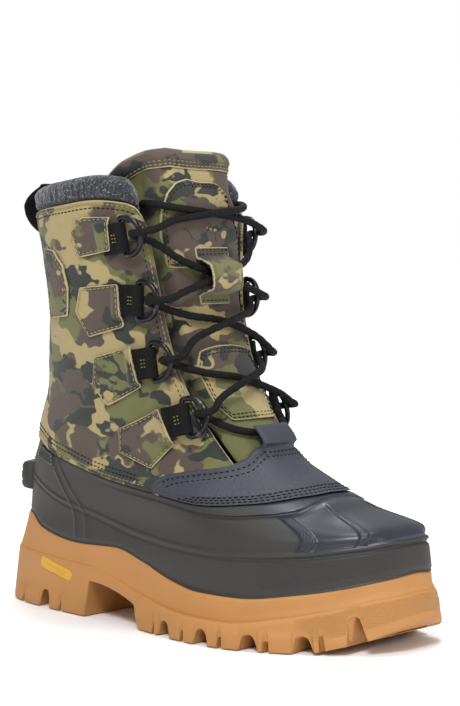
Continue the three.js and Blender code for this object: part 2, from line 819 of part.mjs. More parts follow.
// Trim
add("side_patch", plate(
  [
    [0.3, 181],
    [0.425, 183],
    [0.448, 200],
    [0.44, 214],
    [0.4, 223],
    [0.35, 224],
    [0.31, 216],
    [0.296, 200],
  ],
  QUARTER_OUT + 0.7,
  QUARTER_OUT + 0.7 + PATCH_WALL,
  2,
), 0x7a6a4c, 0.8);
add("hem_label", plate(
  [
    [0.205, 100.5],
    [0.283, 95.6],
    [0.285, 88.5],
    [0.2, 93],
  ],
  GAP,
  GAP + 0.8,
), 0x17181a, 0.7);
add("sole_badge", plate(
  [
    [0.25, 32],
    [0.331, 26.5],
    [0.331, 19.5],
    [0.25, 25],
  ],
  (turn) => outsoleLift(turn) + GAP,
  (turn) => outsoleLift(turn) + GAP + 0.8,
), 0xe2a51e, 0.5);

// Pull loop at the back
const LOOP_WIDTH = 20;
const LOOP_WALL = 2;
const heelPoint = (level, lift) => {
  const p = skin(level, 0, lift);
  return new THREE.Vector2(p.y, p.z);
};
const loopSeat = QUARTER_OUT + 1.2;
const loopOutline = (points) =>
  new THREE.CatmullRomCurve3(points.map(([level, lift]) => {
    const p = heelPoint(level, lift);
    return new THREE.Vector3(p.x, p.y, 0);
  })).getPoints(14).map((p) => new THREE.Vector2(p.x, p.y));
const loopShape = new THREE.Shape([
  ...[252, 243, 232, 222].map((level) => heelPoint(level, loopSeat)),
  heelPoint(222, loopSeat + LOOP_WALL),
  ...loopOutline([
    [229, loopSeat + LOOP_WALL + 0.6],
    [234, loopSeat + 7],
    [241, loopSeat + 13],
    [250, loopSeat + 15],
    [257, loopSeat + 11],
    [262, loopSeat + 3],
  ]),
  heelPoint(262, loopSeat),
]);
loopShape.holes.push(new THREE.Path(loopOutline([
  [235, loopSeat + LOOP_WALL + 0.4],
  [240, loopSeat + 9],
  [249, loopSeat + 12.5],
  [255, loopSeat + 9.5],
  [257.5, loopSeat + LOOP_WALL + 0.6],
])));
const pullLoop = new THREE.ExtrudeGeometry(loopShape, {
  depth: LOOP_WIDTH,
  bevelEnabled: false,
  curveSegments: 4,
})
  .translate(0, 0, -LOOP_WIDTH / 2)
  .rotateX(Math.PI / 2)
  .rotateZ(Math.PI / 2);
add("pull_loop", pullLoop, 0x1b1b1d, 0.9);

// Lacing stations: the bar of each ring by two points on the skin, and its patch by five corners
const LACING = [
  {
    barTop: [0.712, 244],
    barBottom: [0.708, 218],
    patch: [[0.501, 232], [0.566, 243], [0.675, 243], [0.66, 223], [0.527, 219]],
  },
  {
    barTop: [0.738, 206.5],
    barBottom: [0.708, 181],
    patch: [[0.468, 186], [0.503, 201], [0.662, 203.5], [0.65, 178], [0.508, 171]],
  },
  {
    barTop: [0.736, 170],
    barBottom: [0.706, 145],
    patch: [[0.484, 141], [0.514, 159], [0.665, 167], [0.655, 143], [0.523, 130]],
  },
  {
    barTop: [0.774, 137],
    barBottom: [0.732, 114],
    patch: [[0.529, 103], [0.545, 117], [0.69, 131], [0.685, 110], [0.599, 95]],
  },
];
const EYE = RING_WIRE / 2 + HINGE_GAP + 0.25;
const BAR_LIFT = QUARTER_OUT + SOFT_GAP + WEBBING + EYE;

// Frame at a bar: z along the bar, y off the skin, x towards the throat
function barFrame({ barTop, barBottom }, side) {
  const place = (turn) => (side > 0 ? 2 - turn : turn);
  const top = skin(barTop[1], place(barTop[0]), BAR_LIFT);
  const bottom = skin(barBottom[1], place(barBottom[0]), BAR_LIFT);
  const level = (barTop[1] + barBottom[1]) / 2;
  const turn = (barTop[0] + barBottom[0]) / 2;
  const out = skin(level, place(turn), BAR_LIFT + 1).sub(skin(level, place(turn), BAR_LIFT - 1));
  const z = top.sub(bottom).multiplyScalar(side).normalize();
  const y = out.addScaledVector(z, -out.dot(z)).normalize();
  const x = new THREE.Vector3().crossVectors(y, z);
  const seat = skin(level, place(turn), BAR_LIFT);
  return { centre: seat, x, y, z };
}

const placed = (geometry, frame) =>
  geometry
    .clone()
    .applyMatrix4(new THREE.Matrix4().makeBasis(frame.x, frame.y, frame.z).setPosition(frame.centre));

function ringGeometry() {
  const bow = (grow) => {
    const half = RING_BAR / 2 + grow;
    const shape = new THREE.Shape();
    shape.moveTo(-grow, half - 3);
    shape.lineTo(-grow, 3 - half);
    shape.quadraticCurveTo(-grow, -half, 2.5, -half);
    shape.bezierCurveTo(RING_DEPTH * 0.7, -half, RING_DEPTH + grow, -half * 0.55, RING_DEPTH + grow, 0);
    shape.bezierCurveTo(RING_DEPTH + grow, half * 0.55, RING_DEPTH * 0.7, half, 2.5, half);
    shape.quadraticCurveTo(-grow, half, -grow, half - 3);
    return shape;
  };
  const half = RING_WIRE / 2;
  const bevel = 0.9;
  const shape = bow(half - bevel);
  const hole = bow(-half + bevel);
  shape.holes.push(new THREE.Path(hole.getPoints(3)));
  return new THREE.ExtrudeGeometry(shape, {
    depth: RING_WIRE - 2 * bevel,
    bevelThickness: bevel,
    bevelSize: bevel,
    bevelSegments: 1,
    curveSegments: 3,
  })
    .translate(0, 0, bevel - half)
    .rotateX(Math.PI / 2);
}

function webbingGeometry(grow, eye) {
  const outer = EYE + WEBBING + grow;
  const start = Math.asin((EYE - grow) / outer);
  const shape = new THREE.Shape();
  shape.moveTo(-WEBBING_TAIL - grow, -outer);
  shape.lineTo(0, -outer);
  shape.absarc(0, 0, outer, -Math.PI / 2, Math.PI + start, false);
  shape.lineTo(-WEBBING_TAIL - grow, -EYE + grow);
  if (eye) {
    const hole = new THREE.Path();
    hole.absarc(0, 0, EYE, 0, 2 * Math.PI, true);
    shape.holes.push(hole);
  }
  const width = RING_BAR - RING_WIRE - 1 + 2 * grow;
  return new THREE.ExtrudeGeometry(shape, { depth: width, bevelEnabled: false, curveSegments: 5 }).translate(
    0,
    0,
    -width / 2,
  );
}

const PATCH_SEAT = QUARTER_OUT + 0.7;
const SIDES = [
  ["outer", -1],
  ["inner", 1],
];
SIDES.forEach(([word, side]) => {
  LACING.forEach((station, i) => {
    const number = i + 1;
    const frame = barFrame(station, side);
    const webbing = placed(webbingGeometry(0, true), frame);
    add("webbing_" + word + "_" + number, webbing, 0x1b1b1d, 0.9);
    const corners = side > 0 ? mirrored(station.patch) : station.patch;
    const flat = plate(corners, PATCH_SEAT, PATCH_SEAT + PATCH_WALL + WEBBING + 0.6, 4);
    const tunnel = placed(webbingGeometry(GAP, false), frame);
    add("patch_" + word + "_" + number, cut(flat, tunnel), CAMO, 0.85);
    const lifted = ringGeometry().rotateZ(THREE.MathUtils.degToRad(RING_REST_ANGLE));
    add("d_ring_" + word + "_" + number, placed(lifted, frame), 0x2a2b2e, 0.35, 0.9);
  });
});

// Lace: one cord, from its tucked end at the outer side down to the middle of the lowest run, as
// (turn, height, lift). The other half mirrors it and takes the other level at each crossing.
const LACE_LOW = 2.9;
const LACE_HIGH = 7.7;
const LACE_HALF = [
  [0.7, 222, -15.1],
  [0.712, 233, -15.1],
  [0.735, 242, -15.1],
  [0.768, 248, -15],
  [0.796, 250.5, -15],
  [0.82, 251, -7],
  [0.855, 250.5, -0.5],
  [0.92, 248.5, 3.5],
  [1, 245.5, LACE_LOW],
  [1.09, 241, 4.5],
  [1.17, 236, 11.8],
  [1.219, 234, 14.5],
  [1.244, 233.5, 12.2],
  [1.244, 232.5, 7.2],
  [1.218, 231, 4.7],
  [1.17, 227, 4.4],
  [1.09, 217.5, 4.6],
  [1, 208.5, LACE_HIGH],
  [0.9, 199.5, 6.5],
  [0.84, 195.5, 11.8],
  [0.793, 194, 14.7],
  [0.768, 193.6, 12.4],
  [0.768, 192.5, 7.4],
  [0.794, 191, 4.9],
  [0.84, 188, 4],
  [0.91, 185, 3],
  [1, 181, LACE_LOW],
  [1.1, 171, 5],
  [1.165, 162, 10.8],
  [1.207, 160, 13.3],
  [1.232, 159.6, 11],
  [1.232, 158.5, 6],
  [1.206, 157, 3.9],
  [1.17, 155, 3.4],
  [1.09, 151.5, 3.6],
  [1, 147.5, LACE_HIGH],
  [0.9, 137, 7],
  [0.86, 132, 9.6],
  [0.827, 129.8, 11.9],
  [0.802, 129.2, 9.6],
  [0.802, 128, 4.6],
  [0.83, 126, 2.1],
  [0.87, 121.5, 1.3],
  [0.93, 118, 1],
];
const laceTurned = LACE_HALF.map(([turn, level, lift]) => [
  2 - turn,
  level,
  turn === 1 ? LACE_LOW + LACE_HIGH - lift : lift,
]).reverse();
class LacePath extends THREE.CatmullRomCurve3 {
  getPointAt(share) {
    return this.getPoint(share);
  }
  getTangentAt(share) {
    return this.getTangent(share);
  }
}
const lacePoints = [...LACE_HALF, [1, 116.5, 1], ...laceTurned].map(([turn, level, lift]) =>
  skin(level, turn, lift),
);
const laceSection = new THREE.Shape().absarc(0, 0, LACE / 2, 0, 2 * Math.PI, false);
add(
  "lace",
  new THREE.ExtrudeGeometry(laceSection, {
    steps: lacePoints.length - 1,
    extrudePath: new LacePath(lacePoints, false, "centripetal"),
    curveSegments: 4,
  }),
  0x1b1c1f,
  0.85,
);

const TIP_LENGTH = 14;
[
  ["outer", lacePoints],
  ["inner", [...lacePoints].reverse()],
].forEach(([word, [end, next]]) => {
  const direction = end.clone().sub(next).normalize();
  const tip = new THREE.CylinderGeometry(LACE / 2, LACE / 2 - 0.4, TIP_LENGTH, 10);
  const turned = new THREE.Quaternion().setFromUnitVectors(new THREE.Vector3(0, -1, 0), direction);
  tip.applyQuaternion(turned);
  const middle = end.clone().addScaledVector(direction, TIP_LENGTH / 2 + GAP);
  add("lace_tip_" + word, tip.translate(middle.x, middle.y, middle.z), 0x121214, 0.3);
});

// The origin lies on the ground under the middle of the boot's box
const middle = new THREE.Box3().setFromObject(boot).getCenter(new THREE.Vector3());
boot.children.forEach((mesh) => mesh.geometry.translate(-middle.x, -middle.y, 0));

export default boot;
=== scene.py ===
"""Looks of an insulated winter hunting boot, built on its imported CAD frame."""
import json
import math

import bmesh
import bpy
import numpy as np
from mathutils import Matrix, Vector

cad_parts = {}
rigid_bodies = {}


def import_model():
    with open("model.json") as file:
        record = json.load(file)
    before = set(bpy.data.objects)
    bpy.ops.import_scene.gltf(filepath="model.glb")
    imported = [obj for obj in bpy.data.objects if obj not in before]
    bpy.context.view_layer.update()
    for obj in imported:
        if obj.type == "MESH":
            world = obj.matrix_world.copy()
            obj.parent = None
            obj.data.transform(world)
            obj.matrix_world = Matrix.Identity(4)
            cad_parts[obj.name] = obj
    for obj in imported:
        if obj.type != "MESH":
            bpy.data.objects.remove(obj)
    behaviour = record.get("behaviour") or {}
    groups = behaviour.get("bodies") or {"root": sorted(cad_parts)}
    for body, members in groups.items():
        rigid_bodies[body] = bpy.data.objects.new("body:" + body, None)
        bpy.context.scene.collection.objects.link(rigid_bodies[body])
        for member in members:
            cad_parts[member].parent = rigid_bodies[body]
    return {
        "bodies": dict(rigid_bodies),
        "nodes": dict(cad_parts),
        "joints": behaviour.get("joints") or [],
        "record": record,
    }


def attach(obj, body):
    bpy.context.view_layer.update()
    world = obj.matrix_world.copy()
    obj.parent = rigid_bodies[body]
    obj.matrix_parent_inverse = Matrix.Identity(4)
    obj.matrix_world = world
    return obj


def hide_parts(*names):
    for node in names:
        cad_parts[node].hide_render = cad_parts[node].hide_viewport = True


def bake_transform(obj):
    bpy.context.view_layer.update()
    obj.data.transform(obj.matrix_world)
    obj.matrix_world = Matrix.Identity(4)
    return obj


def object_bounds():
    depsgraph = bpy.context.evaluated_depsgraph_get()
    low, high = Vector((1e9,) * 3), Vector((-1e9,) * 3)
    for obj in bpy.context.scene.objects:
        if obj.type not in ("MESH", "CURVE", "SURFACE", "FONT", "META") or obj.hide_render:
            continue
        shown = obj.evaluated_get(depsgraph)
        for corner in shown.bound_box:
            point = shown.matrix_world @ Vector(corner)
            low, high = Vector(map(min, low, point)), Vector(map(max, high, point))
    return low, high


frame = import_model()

bl_info = {
    "name": "Insulated hunting boot",
    "version": (1, 0, 0),
    "blender": (4, 5, 0),
    "location": "View3D > Sidebar > Boot",
    "description": "Builds the visible pieces of an insulated hunting boot on its CAD frame",
    "category": "Add Mesh",
}

CAD_BOX = [list(corner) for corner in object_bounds()]
NODES = frame["nodes"]
ROOT = "boot"
MM = 0.001
FAR = 20.0  # distance to an edge, in mm, of points that lie near none
HALF_WAY = 170  # mm along the skin from heel to toe, about, at the shaft

# ---------------------------------------------------------------- the boot's skin, in millimetres
# Height, heel and toe ends, half widths at heel, waist, ball and toe, roundness at the back and the
# front, toe swing towards the inner side, hollow of the inner side.
SECTIONS = np.array([
    (0, 153, -157, 44, 47, 62, 50, 0.62, 0.62, 9, 0.2),
    (40, 146, -148.5, 44, 47, 60, 50, 0.62, 0.62, 9, 0.14),
    (60, 140, -146, 42, 45, 57, 47, 0.62, 0.62, 9, 0.12),
    (76, 138.5, -107.5, 41, 44, 54, 44, 0.62, 0.62, 8, 0.1),
    (88, 137.5, -78, 41, 43, 50, 41, 0.66, 0.63, 6, 0.08),
    (100, 133, -58.5, 41, 43, 47, 38, 0.7, 0.62, 4, 0.06),
    (115, 130, -46, 42, 43.5, 45.5, 42, 0.75, 0.6, 1.5, 0.04),
    (135, 122, -30, 43, 44.5, 45, 45.5, 0.8, 0.55, 0.5, 0.02),
    (160, 118.5, -16, 45, 47, 47, 46, 0.84, 0.52, 0, 0),
    (190, 116.5, -7, 47, 50, 50, 47, 0.86, 0.5, 0, 0),
    (220, 120, -3, 49, 53, 54, 53, 0.86, 0.5, 0, 0),
    (245, 125.5, 0, 50, 55, 57, 59, 0.86, 0.5, 0, 0),
    (290, 128.5, 3, 50, 56, 58, 60, 0.86, 0.5, 0, 0),
], float)
STATIONS = np.array([0, 0.38, 0.72, 1])
SHIFT = np.array([-0.8208, 0.1903, 0.0])


class Curve:
    """Monotone cubic through points: Hermite pieces whose slopes are harmonic means of the chords."""

    def __init__(self, points):
        self.x, self.y = np.array(points, float).T
        chord = np.diff(self.y) / np.diff(self.x)
        both = chord[:-1] * chord[1:]
        total = np.where(chord[:-1] + chord[1:] == 0, 1, chord[:-1] + chord[1:])
        inner = np.where(both > 0, 2 * both / total, 0)
        self.slope = np.concatenate([chord[:1], inner, chord[-1:]])

    def __call__(self, value):
        x = np.clip(value, self.x[0], self.x[-1])
        i = np.clip(np.searchsorted(self.x, x, side="right") - 1, 0, len(self.x) - 2)
        width = self.x[i + 1] - self.x[i]
        s = (x - self.x[i]) / width
        rise = self.y[i + 1] - self.y[i]
        bend = s * (1 - s) * width
        return self.y[i] + rise * s * s * (3 - 2 * s) + bend * ((1 - s) * self.slope[i] - s * self.slope[i + 1])


COLUMNS = [Curve(SECTIONS[:, [0, k]]) for k in range(1, SECTIONS.shape[1])]


def mix(a, b, share):
    return a + (b - a) * share


def smooth(value, low, high):
    s = np.clip((value - low) / (high - low), 0, 1)
    return s * s * (3 - 2 * s)


def bell(value, centre, width):
    return np.exp(-(((value - centre) / width) ** 2))


def fold(turn):
    """Both sides of the boot onto 0 at the heel to 1 at the toe."""
    wrapped = np.mod(turn, 2)
    return np.where(wrapped > 1, 2 - wrapped, wrapped)


def folded(points):
    curve = Curve(points)
    return lambda turn: curve(fold(turn))


def half_width(t, widths):
    """Cubic Hermite through the four station widths, with slopes taken across the neighbours."""
    around = [(max(i - 1, 0), min(i + 1, 3)) for i in range(4)]
    slopes = [(widths[k] - widths[j]) / (STATIONS[k] - STATIONS[j]) for j, k in around]
    i = np.clip(np.searchsorted(STATIONS, t, side="right") - 1, 0, 2)
    span = STATIONS[i + 1] - STATIONS[i]
    s = (t - STATIONS[i]) / span
    low, high = np.choose(i, widths[:3]), np.choose(i, widths[1:])
    low_slope, high_slope = np.choose(i, slopes[:3]), np.choose(i, slopes[1:])
    return ((2 * s**3 - 3 * s**2 + 1) * low + (s**3 - 2 * s**2 + s) * span * low_slope
            + (3 * s**2 - 2 * s**3) * high + (s**3 - s**2) * span * high_slope)


def section_point(level, turn):
    """x is the half width times sine of the place to a roundness power; y runs from heel to toe."""
    side = np.where(np.mod(turn, 2) > 1, 1.0, -1.0)
    angle = np.pi * fold(turn)
    back, front, heel, waist, ball, toe, round_back, round_front, swing, hollow = (c(level) for c in COLUMNS)
    t = (1 - np.cos(angle)) / 2
    roundness = mix(round_back, round_front, smooth(t, 0, 1))
    width = half_width(t, [heel, waist, ball, toe])
    width = width * np.where(side > 0, 1 - hollow * bell(t, 0.42, 0.2), 1)
    x = side * width * np.maximum(np.sin(angle), 0) ** roundness + swing * t * t
    return x, mix(back, front, t)


def skin(level, turn, lift=0.0):
    """The section at a height and place, moved out along its own normal; the height stays."""
    level, turn, lift = np.broadcast_arrays(*(np.asarray(v, float) for v in (level, turn, lift)))
    at = level - 0.6 * lift
    x, y = section_point(at, turn)
    ax, ay = section_point(at, turn - 0.002)
    bx, by = section_point(at, turn + 0.002)
    length = np.hypot(bx - ax, by - ay)
    return np.stack([x + lift * (by - ay) / length, y - lift * (bx - ax) / length, level], -1) + SHIFT


def unit(vectors):
    return vectors / np.linalg.norm(vectors, axis=-1, keepdims=True)


def travelled(steps):
    """Distance run at each point of a line, from the lengths of its steps."""
    return np.concatenate([[0], np.cumsum(steps)])


def run_of(points):
    return travelled(np.linalg.norm(np.diff(points, axis=0), axis=-1))


def arc_length(turns, level):
    """Distance run along the skin at one height."""
    x, y = section_point(np.full(turns.shape, float(level)), turns)
    return travelled(np.hypot(np.diff(x), np.diff(y)))


def even_turns(start, end, count, level=140.0):
    """Places an equal length apart along the skin at one height."""
    near = np.linspace(0, 1, 120) ** 3 * 0.06
    poles = np.concatenate([k + s * near for k in (-1, 0, 1, 2) for s in (-1, 1)])
    fine = np.unique(np.concatenate([np.linspace(start, end, 1500), poles, [start, end]]))
    fine = fine[(fine >= start) & (fine <= end)]
    run = arc_length(fine, level)
    return np.interp(np.linspace(0, run[-1], count), run, fine)


def unroll(run, up):
    """uv of a grid: how far along the skin each column lies, and the height of each point."""
    return np.stack([np.broadcast_to(run[:, None], up.shape), up], -1)


# ---------------------------------------------------------------- lines along the boot
TREAD = folded([(0, 0), (0.366, 0), (0.374, 22), (0.468, 14), (0.486, 0), (0.736, 0), (0.8, 4), (0.88, 10),
                (0.95, 15), (1, 17)])
SOLE_STEP = folded([(0, 36), (0.37, 32), (0.48, 21), (0.56, 15), (0.63, 14), (0.71, 18.5), (0.79, 24.5),
                    (0.9, 31.5), (1, 33.5)])
GUM_TOP = folded([(0, 57), (0.14, 56), (0.22, 49), (0.34, 44), (0.42, 45), (0.48, 39.5), (0.535, 32),
                  (0.585, 28), (0.65, 27.5), (0.74, 31.5), (0.815, 36), (0.9, 40.5), (1, 43.5)])
HEM = folded([(0, 105), (0.18, 103.5), (0.29, 96), (0.36, 92), (0.46, 85), (0.555, 81), (0.64, 77), (0.745, 79),
              (0.9, 83), (1, 84)])
RIDGE = folded([(0, 84), (0.148, 80.5), (0.288, 68), (0.355, 64), (0.457, 56), (0.553, 52.5), (0.638, 51.5),
                (0.743, 54), (0.841, 58), (0.993, 62), (1, 62)])
VAMP_TOP = folded([(0.555, 81.6), (0.585, 88), (0.63, 92.5), (0.7, 95.5), (0.79, 98.5), (0.86, 102),
                   (0.915, 106.5), (0.955, 108.6), (1, 109)])
QUARTER_TOP = folded([(0, 243), (0.233, 245.5), (0.468, 250), (0.618, 253), (0.723, 251.5), (0.77, 249),
                      (0.8, 243), (0.812, 236)])
TONGUE_TOP = folded([(0.62, 262), (0.7, 270), (0.78, 276.5), (0.9, 282), (1, 284)])
BED = folded([(0, 37.5), (0.36, 34), (0.45, 30), (0.52, 25), (0.6, 20.5), (0.74, 22.5), (0.85, 30), (1, 35)])
VAMP_START, THROAT_EDGE, FELT_EDGE = 0.555, 0.812, 0.782
QUARTER_OUT, QUARTER_IN = 0.8, -1.2
SHELL_IN = -3.9
FELT_OUT, FELT_IN = -4.95, -11.35
FELT_LOW = -15.0
CAVITY = 12.1
COLLAR_RISE = 15.0
RING_REST = math.radians(20)
RING_BAR, RING_DEPTH, RING_WIRE = 22.6, 13.6, 3.4
WEBBING = 1.4
BAR_GAP = 0.85
PATCH_SEAT = 1.5
RINGS = [f"{side}_{k}" for side in ("outer", "inner") for k in (1, 2, 3, 4)]


def ball_flare(turn):
    wrapped = np.mod(turn, 2)
    return np.where(wrapped > 1, 2.5 * bell(wrapped, 1.4, 0.12), 6.5 * bell(wrapped, 0.62, 0.13))


def collar_top(turn):
    place = fold(turn)
    return QUARTER_TOP(np.minimum(place, 0.77)) + COLLAR_RISE - 5 * smooth(place, 0.72, 0.8)


def ripple(points, size, seed):
    """Soft unevenness: the mean of seven sine waves of about one length in seeded directions."""
    rng = np.random.default_rng(seed)
    ways = rng.normal(size=(7, 3))
    ways *= (2 * np.pi / size * rng.uniform(0.6, 1.5, (7, 1))) / np.linalg.norm(ways, axis=1, keepdims=True)
    return np.sin(points @ ways.T + rng.uniform(0, 6.28, 7)).mean(-1) * 1.6


# ---------------------------------------------------------------- meshes
def grid_faces(nu, nv, first=0, turned=False):
    """Quads of a grid whose points are numbered along v first."""
    u, v = np.meshgrid(np.arange(nu - 1), np.arange(nv - 1), indexing="ij")
    a = (first + u * nv + v).ravel()
    quads = np.stack([a, a + nv, a + nv + 1, a + 1], -1)
    return quads[:, ::-1] if turned else quads


class Shape:
    """Points, faces, uv and point values gathered from several grids, in millimetres."""

    def __init__(self):
        self.points, self.faces, self.uv, self.values, self.marks, self.count = [], [], [], {}, [], 0

    def add(self, points, faces, uv=None, mark=0, **values):
        flat = points.reshape(-1, 3)
        self.faces.append((np.asarray(faces) + self.count, mark))
        self.points.append(flat)
        self.uv.append(np.zeros((len(flat), 2)) if uv is None else np.asarray(uv, float).reshape(-1, 2))
        for name, value in values.items():
            self.values.setdefault(name, {})[self.count] = np.broadcast_to(value, points.shape[:-1]).ravel()
        self.count += len(flat)
        return self

    def grid(self, points, uv=None, turned=False, mark=0, **values):
        return self.add(points, grid_faces(*points.shape[:2], turned=turned), uv, mark, **values)

    def fan(self, ring, centre, turned=False, **rest):
        """Triangles from a closed ring of points to one centre."""
        count = len(ring)
        i = np.arange(count)
        faces = np.stack([i, (i + 1) % count, np.full(count, count)], -1)
        return self.add(np.concatenate([ring, centre]), faces if turned else faces[:, ::-1], **rest)

    def wall(self, outer, inner, uv=None, inner_mark=0, **values):
        """Two grids of one size as the faces of a closed wall, joined by a strip along all four edges."""
        nu, nv = outer.shape[:2]
        self.grid(outer, uv, **values)
        self.grid(inner, uv, turned=True, mark=inner_mark, **{k: np.full(inner.shape[:-1], FAR) for k in values})
        edge = np.concatenate([np.arange(nu) * nv, (nu - 1) * nv + np.arange(1, nv),
                               (np.arange(nu - 2, -1, -1)) * nv + nv - 1, np.arange(nv - 2, 0, -1)])
        count = len(edge)
        both = np.concatenate([outer.reshape(-1, 3)[edge], inner.reshape(-1, 3)[edge]])
        i = np.arange(count)
        n = (i + 1) % count
        rim = None if uv is None else np.concatenate([np.asarray(uv, float).reshape(-1, 2)[edge]] * 2)
        strip = np.stack([n, i, i + count, n + count], -1)
        return self.add(both, strip, rim, **{k: np.zeros(2 * count) for k in values})


def build(name, shape, materials, replaces=(), body=ROOT, sharp=50, blend=None, weld=2e-6):
    """Makes the mesh, welds its seams, and hands it to the frame."""
    mesh = bpy.data.meshes.new(name)
    points = np.concatenate(shape.points) * MM
    faces = [face for block, _ in shape.faces for face in block.tolist()]
    mesh.from_pydata(points.tolist(), [], faces)
    marks = np.concatenate([np.full(len(block), mark) for block, mark in shape.faces])
    mesh.polygons.foreach_set("material_index", marks.astype(np.int32))
    loops = np.zeros(len(mesh.loops), np.int32)
    mesh.loops.foreach_get("vertex_index", loops)
    layer = mesh.uv_layers.new(name="UVMap")
    layer.data.foreach_set("uv", (np.concatenate(shape.uv)[loops] * MM).astype(np.float32).ravel())
    for key, parts in shape.values.items():
        full = np.full(shape.count, FAR)
        for first, value in parts.items():
            full[first:first + len(value)] = value
        mesh.attributes.new(key, "FLOAT", "POINT").data.foreach_set("value", full.astype(np.float32))
    made = bmesh.new()
    made.from_mesh(mesh)
    bmesh.ops.remove_doubles(made, verts=made.verts, dist=weld)
    bmesh.ops.dissolve_degenerate(made, edges=made.edges, dist=1e-7)
    made.to_mesh(mesh)
    made.free()
    mesh.shade_smooth()
    mesh.set_sharp_from_angle(angle=math.radians(sharp))
    for material in materials if isinstance(materials, (list, tuple)) else [materials]:
        mesh.materials.append(material)
    obj = bpy.data.objects.new(name, mesh)
    bpy.context.scene.collection.objects.link(obj)
    if blend:
        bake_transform(obj)
    else:
        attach(obj, body)
    if replaces:
        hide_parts(*replaces)
    return obj


def rounded(distance, radius):
    """Share of the full height at a distance from an edge: a quarter circle of that radius."""
    return np.sqrt(np.clip(1 - (1 - np.clip(distance / radius, 0, 1)) ** 2, 0, 1))


def ease_ends(count, pull=0.6):
    """Shares from 0 to 1 that lie closer together near both ends."""
    s = np.linspace(0, 1, count)
    return mix(s, s * s * (3 - 2 * s), pull)


def edge_gaps(points):
    """Distance from each grid point to the first and last column and row, along the grid."""
    along = np.linalg.norm(np.diff(points, axis=0), axis=-1)
    up = np.linalg.norm(np.diff(points, axis=1), axis=-1)
    from_first = np.concatenate([np.zeros((1, points.shape[1])), np.cumsum(along, 0)])
    from_low = np.concatenate([np.zeros((points.shape[0], 1)), np.cumsum(up, 1)], 1)
    return from_first, from_first[-1:] - from_first, from_low, from_low[:, -1:] - from_low


def outline_of(corners, cuts=6, rounds=3):
    """A closed outline: each side split, then its corners cut in turn, which rounds them."""
    corners = np.array(corners, float)
    after = np.roll(corners, -1, 0)
    share = np.arange(cuts)[:, None, None] / cuts
    line = (corners + (after - corners) * share).transpose(1, 0, 2).reshape(-1, 2)
    for _ in range(rounds):
        after = np.roll(line, -1, 0)
        line = np.stack([mix(line, after, 0.25), mix(line, after, 0.75)], 1).reshape(-1, 2)
    area = np.sum(line[:, 0] * np.roll(line[:, 1], -1) - np.roll(line[:, 0], -1) * line[:, 1])
    return line if area > 0 else line[::-1]


def spokes(outline, place):
    """An outline's middle, its points closed to a ring, and how far each lies from the middle in mm."""
    centre = outline.mean(0)
    ring = np.concatenate([outline, outline[:1]])
    middle = place(centre[0], centre[1], 0.0)
    return centre, ring, np.linalg.norm(place(ring[:, 0], ring[:, 1], 0.0) - middle, axis=-1)


def plate(outline, place, thick, edge=0.7, swell=None):
    """A flat piece on the skin: rings of its outline drawn in to the middle, its rim a quarter circle.
    place(turn, level, height) gives points; swell(turn, level) adds height."""
    centre, ring, reach = spokes(outline, place)
    from_rim = np.array([4.2, 3.2, 2.4, 1.8, 1.2, 0.8, 0.4, 0.15, 0]) / 26
    share = np.unique(np.concatenate([np.linspace(0.002, 0.8, 14), 1 - from_rim]))
    at = centre + share[None, :, None] * (ring - centre)[:, None, :]
    gap = (1 - share)[None, :] * reach[:, None]
    extra = 0 if swell is None else swell(at[..., 0], at[..., 1])
    top = place(at[..., 0], at[..., 1], thick * (0.35 + 0.65 * rounded(gap, edge)) + extra)
    bottom = place(at[..., 0], at[..., 1], 0.0 * gap + extra * 0.8)
    uv = np.stack([(at[..., 0] - centre[0]) * HALF_WAY, at[..., 1]], -1)
    shape = Shape()
    shape.grid(top, uv, turned=True, edge_mm=gap)
    shape.grid(bottom, uv, edge_mm=np.full(gap.shape, FAR))
    rim = np.stack([bottom[:, -1], top[:, -1]], 1)
    shape.grid(rim, np.stack([uv[:, -1]] * 2, 1), edge_mm=np.zeros(rim.shape[:-1]))
    for hub, turned in ((top[:, 0], True), (bottom[:, 0], False)):
        shape.fan(hub[:-1], hub.mean(0, keepdims=True), turned,
                  uv=np.full((len(hub), 2), (0, centre[1])), edge_mm=np.full(len(hub), FAR))
    return shape


def inset_path(outline, place, inset, lift):
    """The outline drawn in by a distance, as points just off the surface and their outward normals."""
    centre, ring, reach = spokes(outline, place)
    at = centre + (1 - inset / reach)[:, None] * (ring - centre)
    low = place(at[:, 0], at[:, 1], lift)
    out = place(at[:, 0], at[:, 1], lift + 1.0) - low
    return low, unit(out)


def sample(at, run, points):
    """Points of a line at given distances along it."""
    return np.stack([np.interp(at, run, points[:, k]) for k in range(3)], -1)


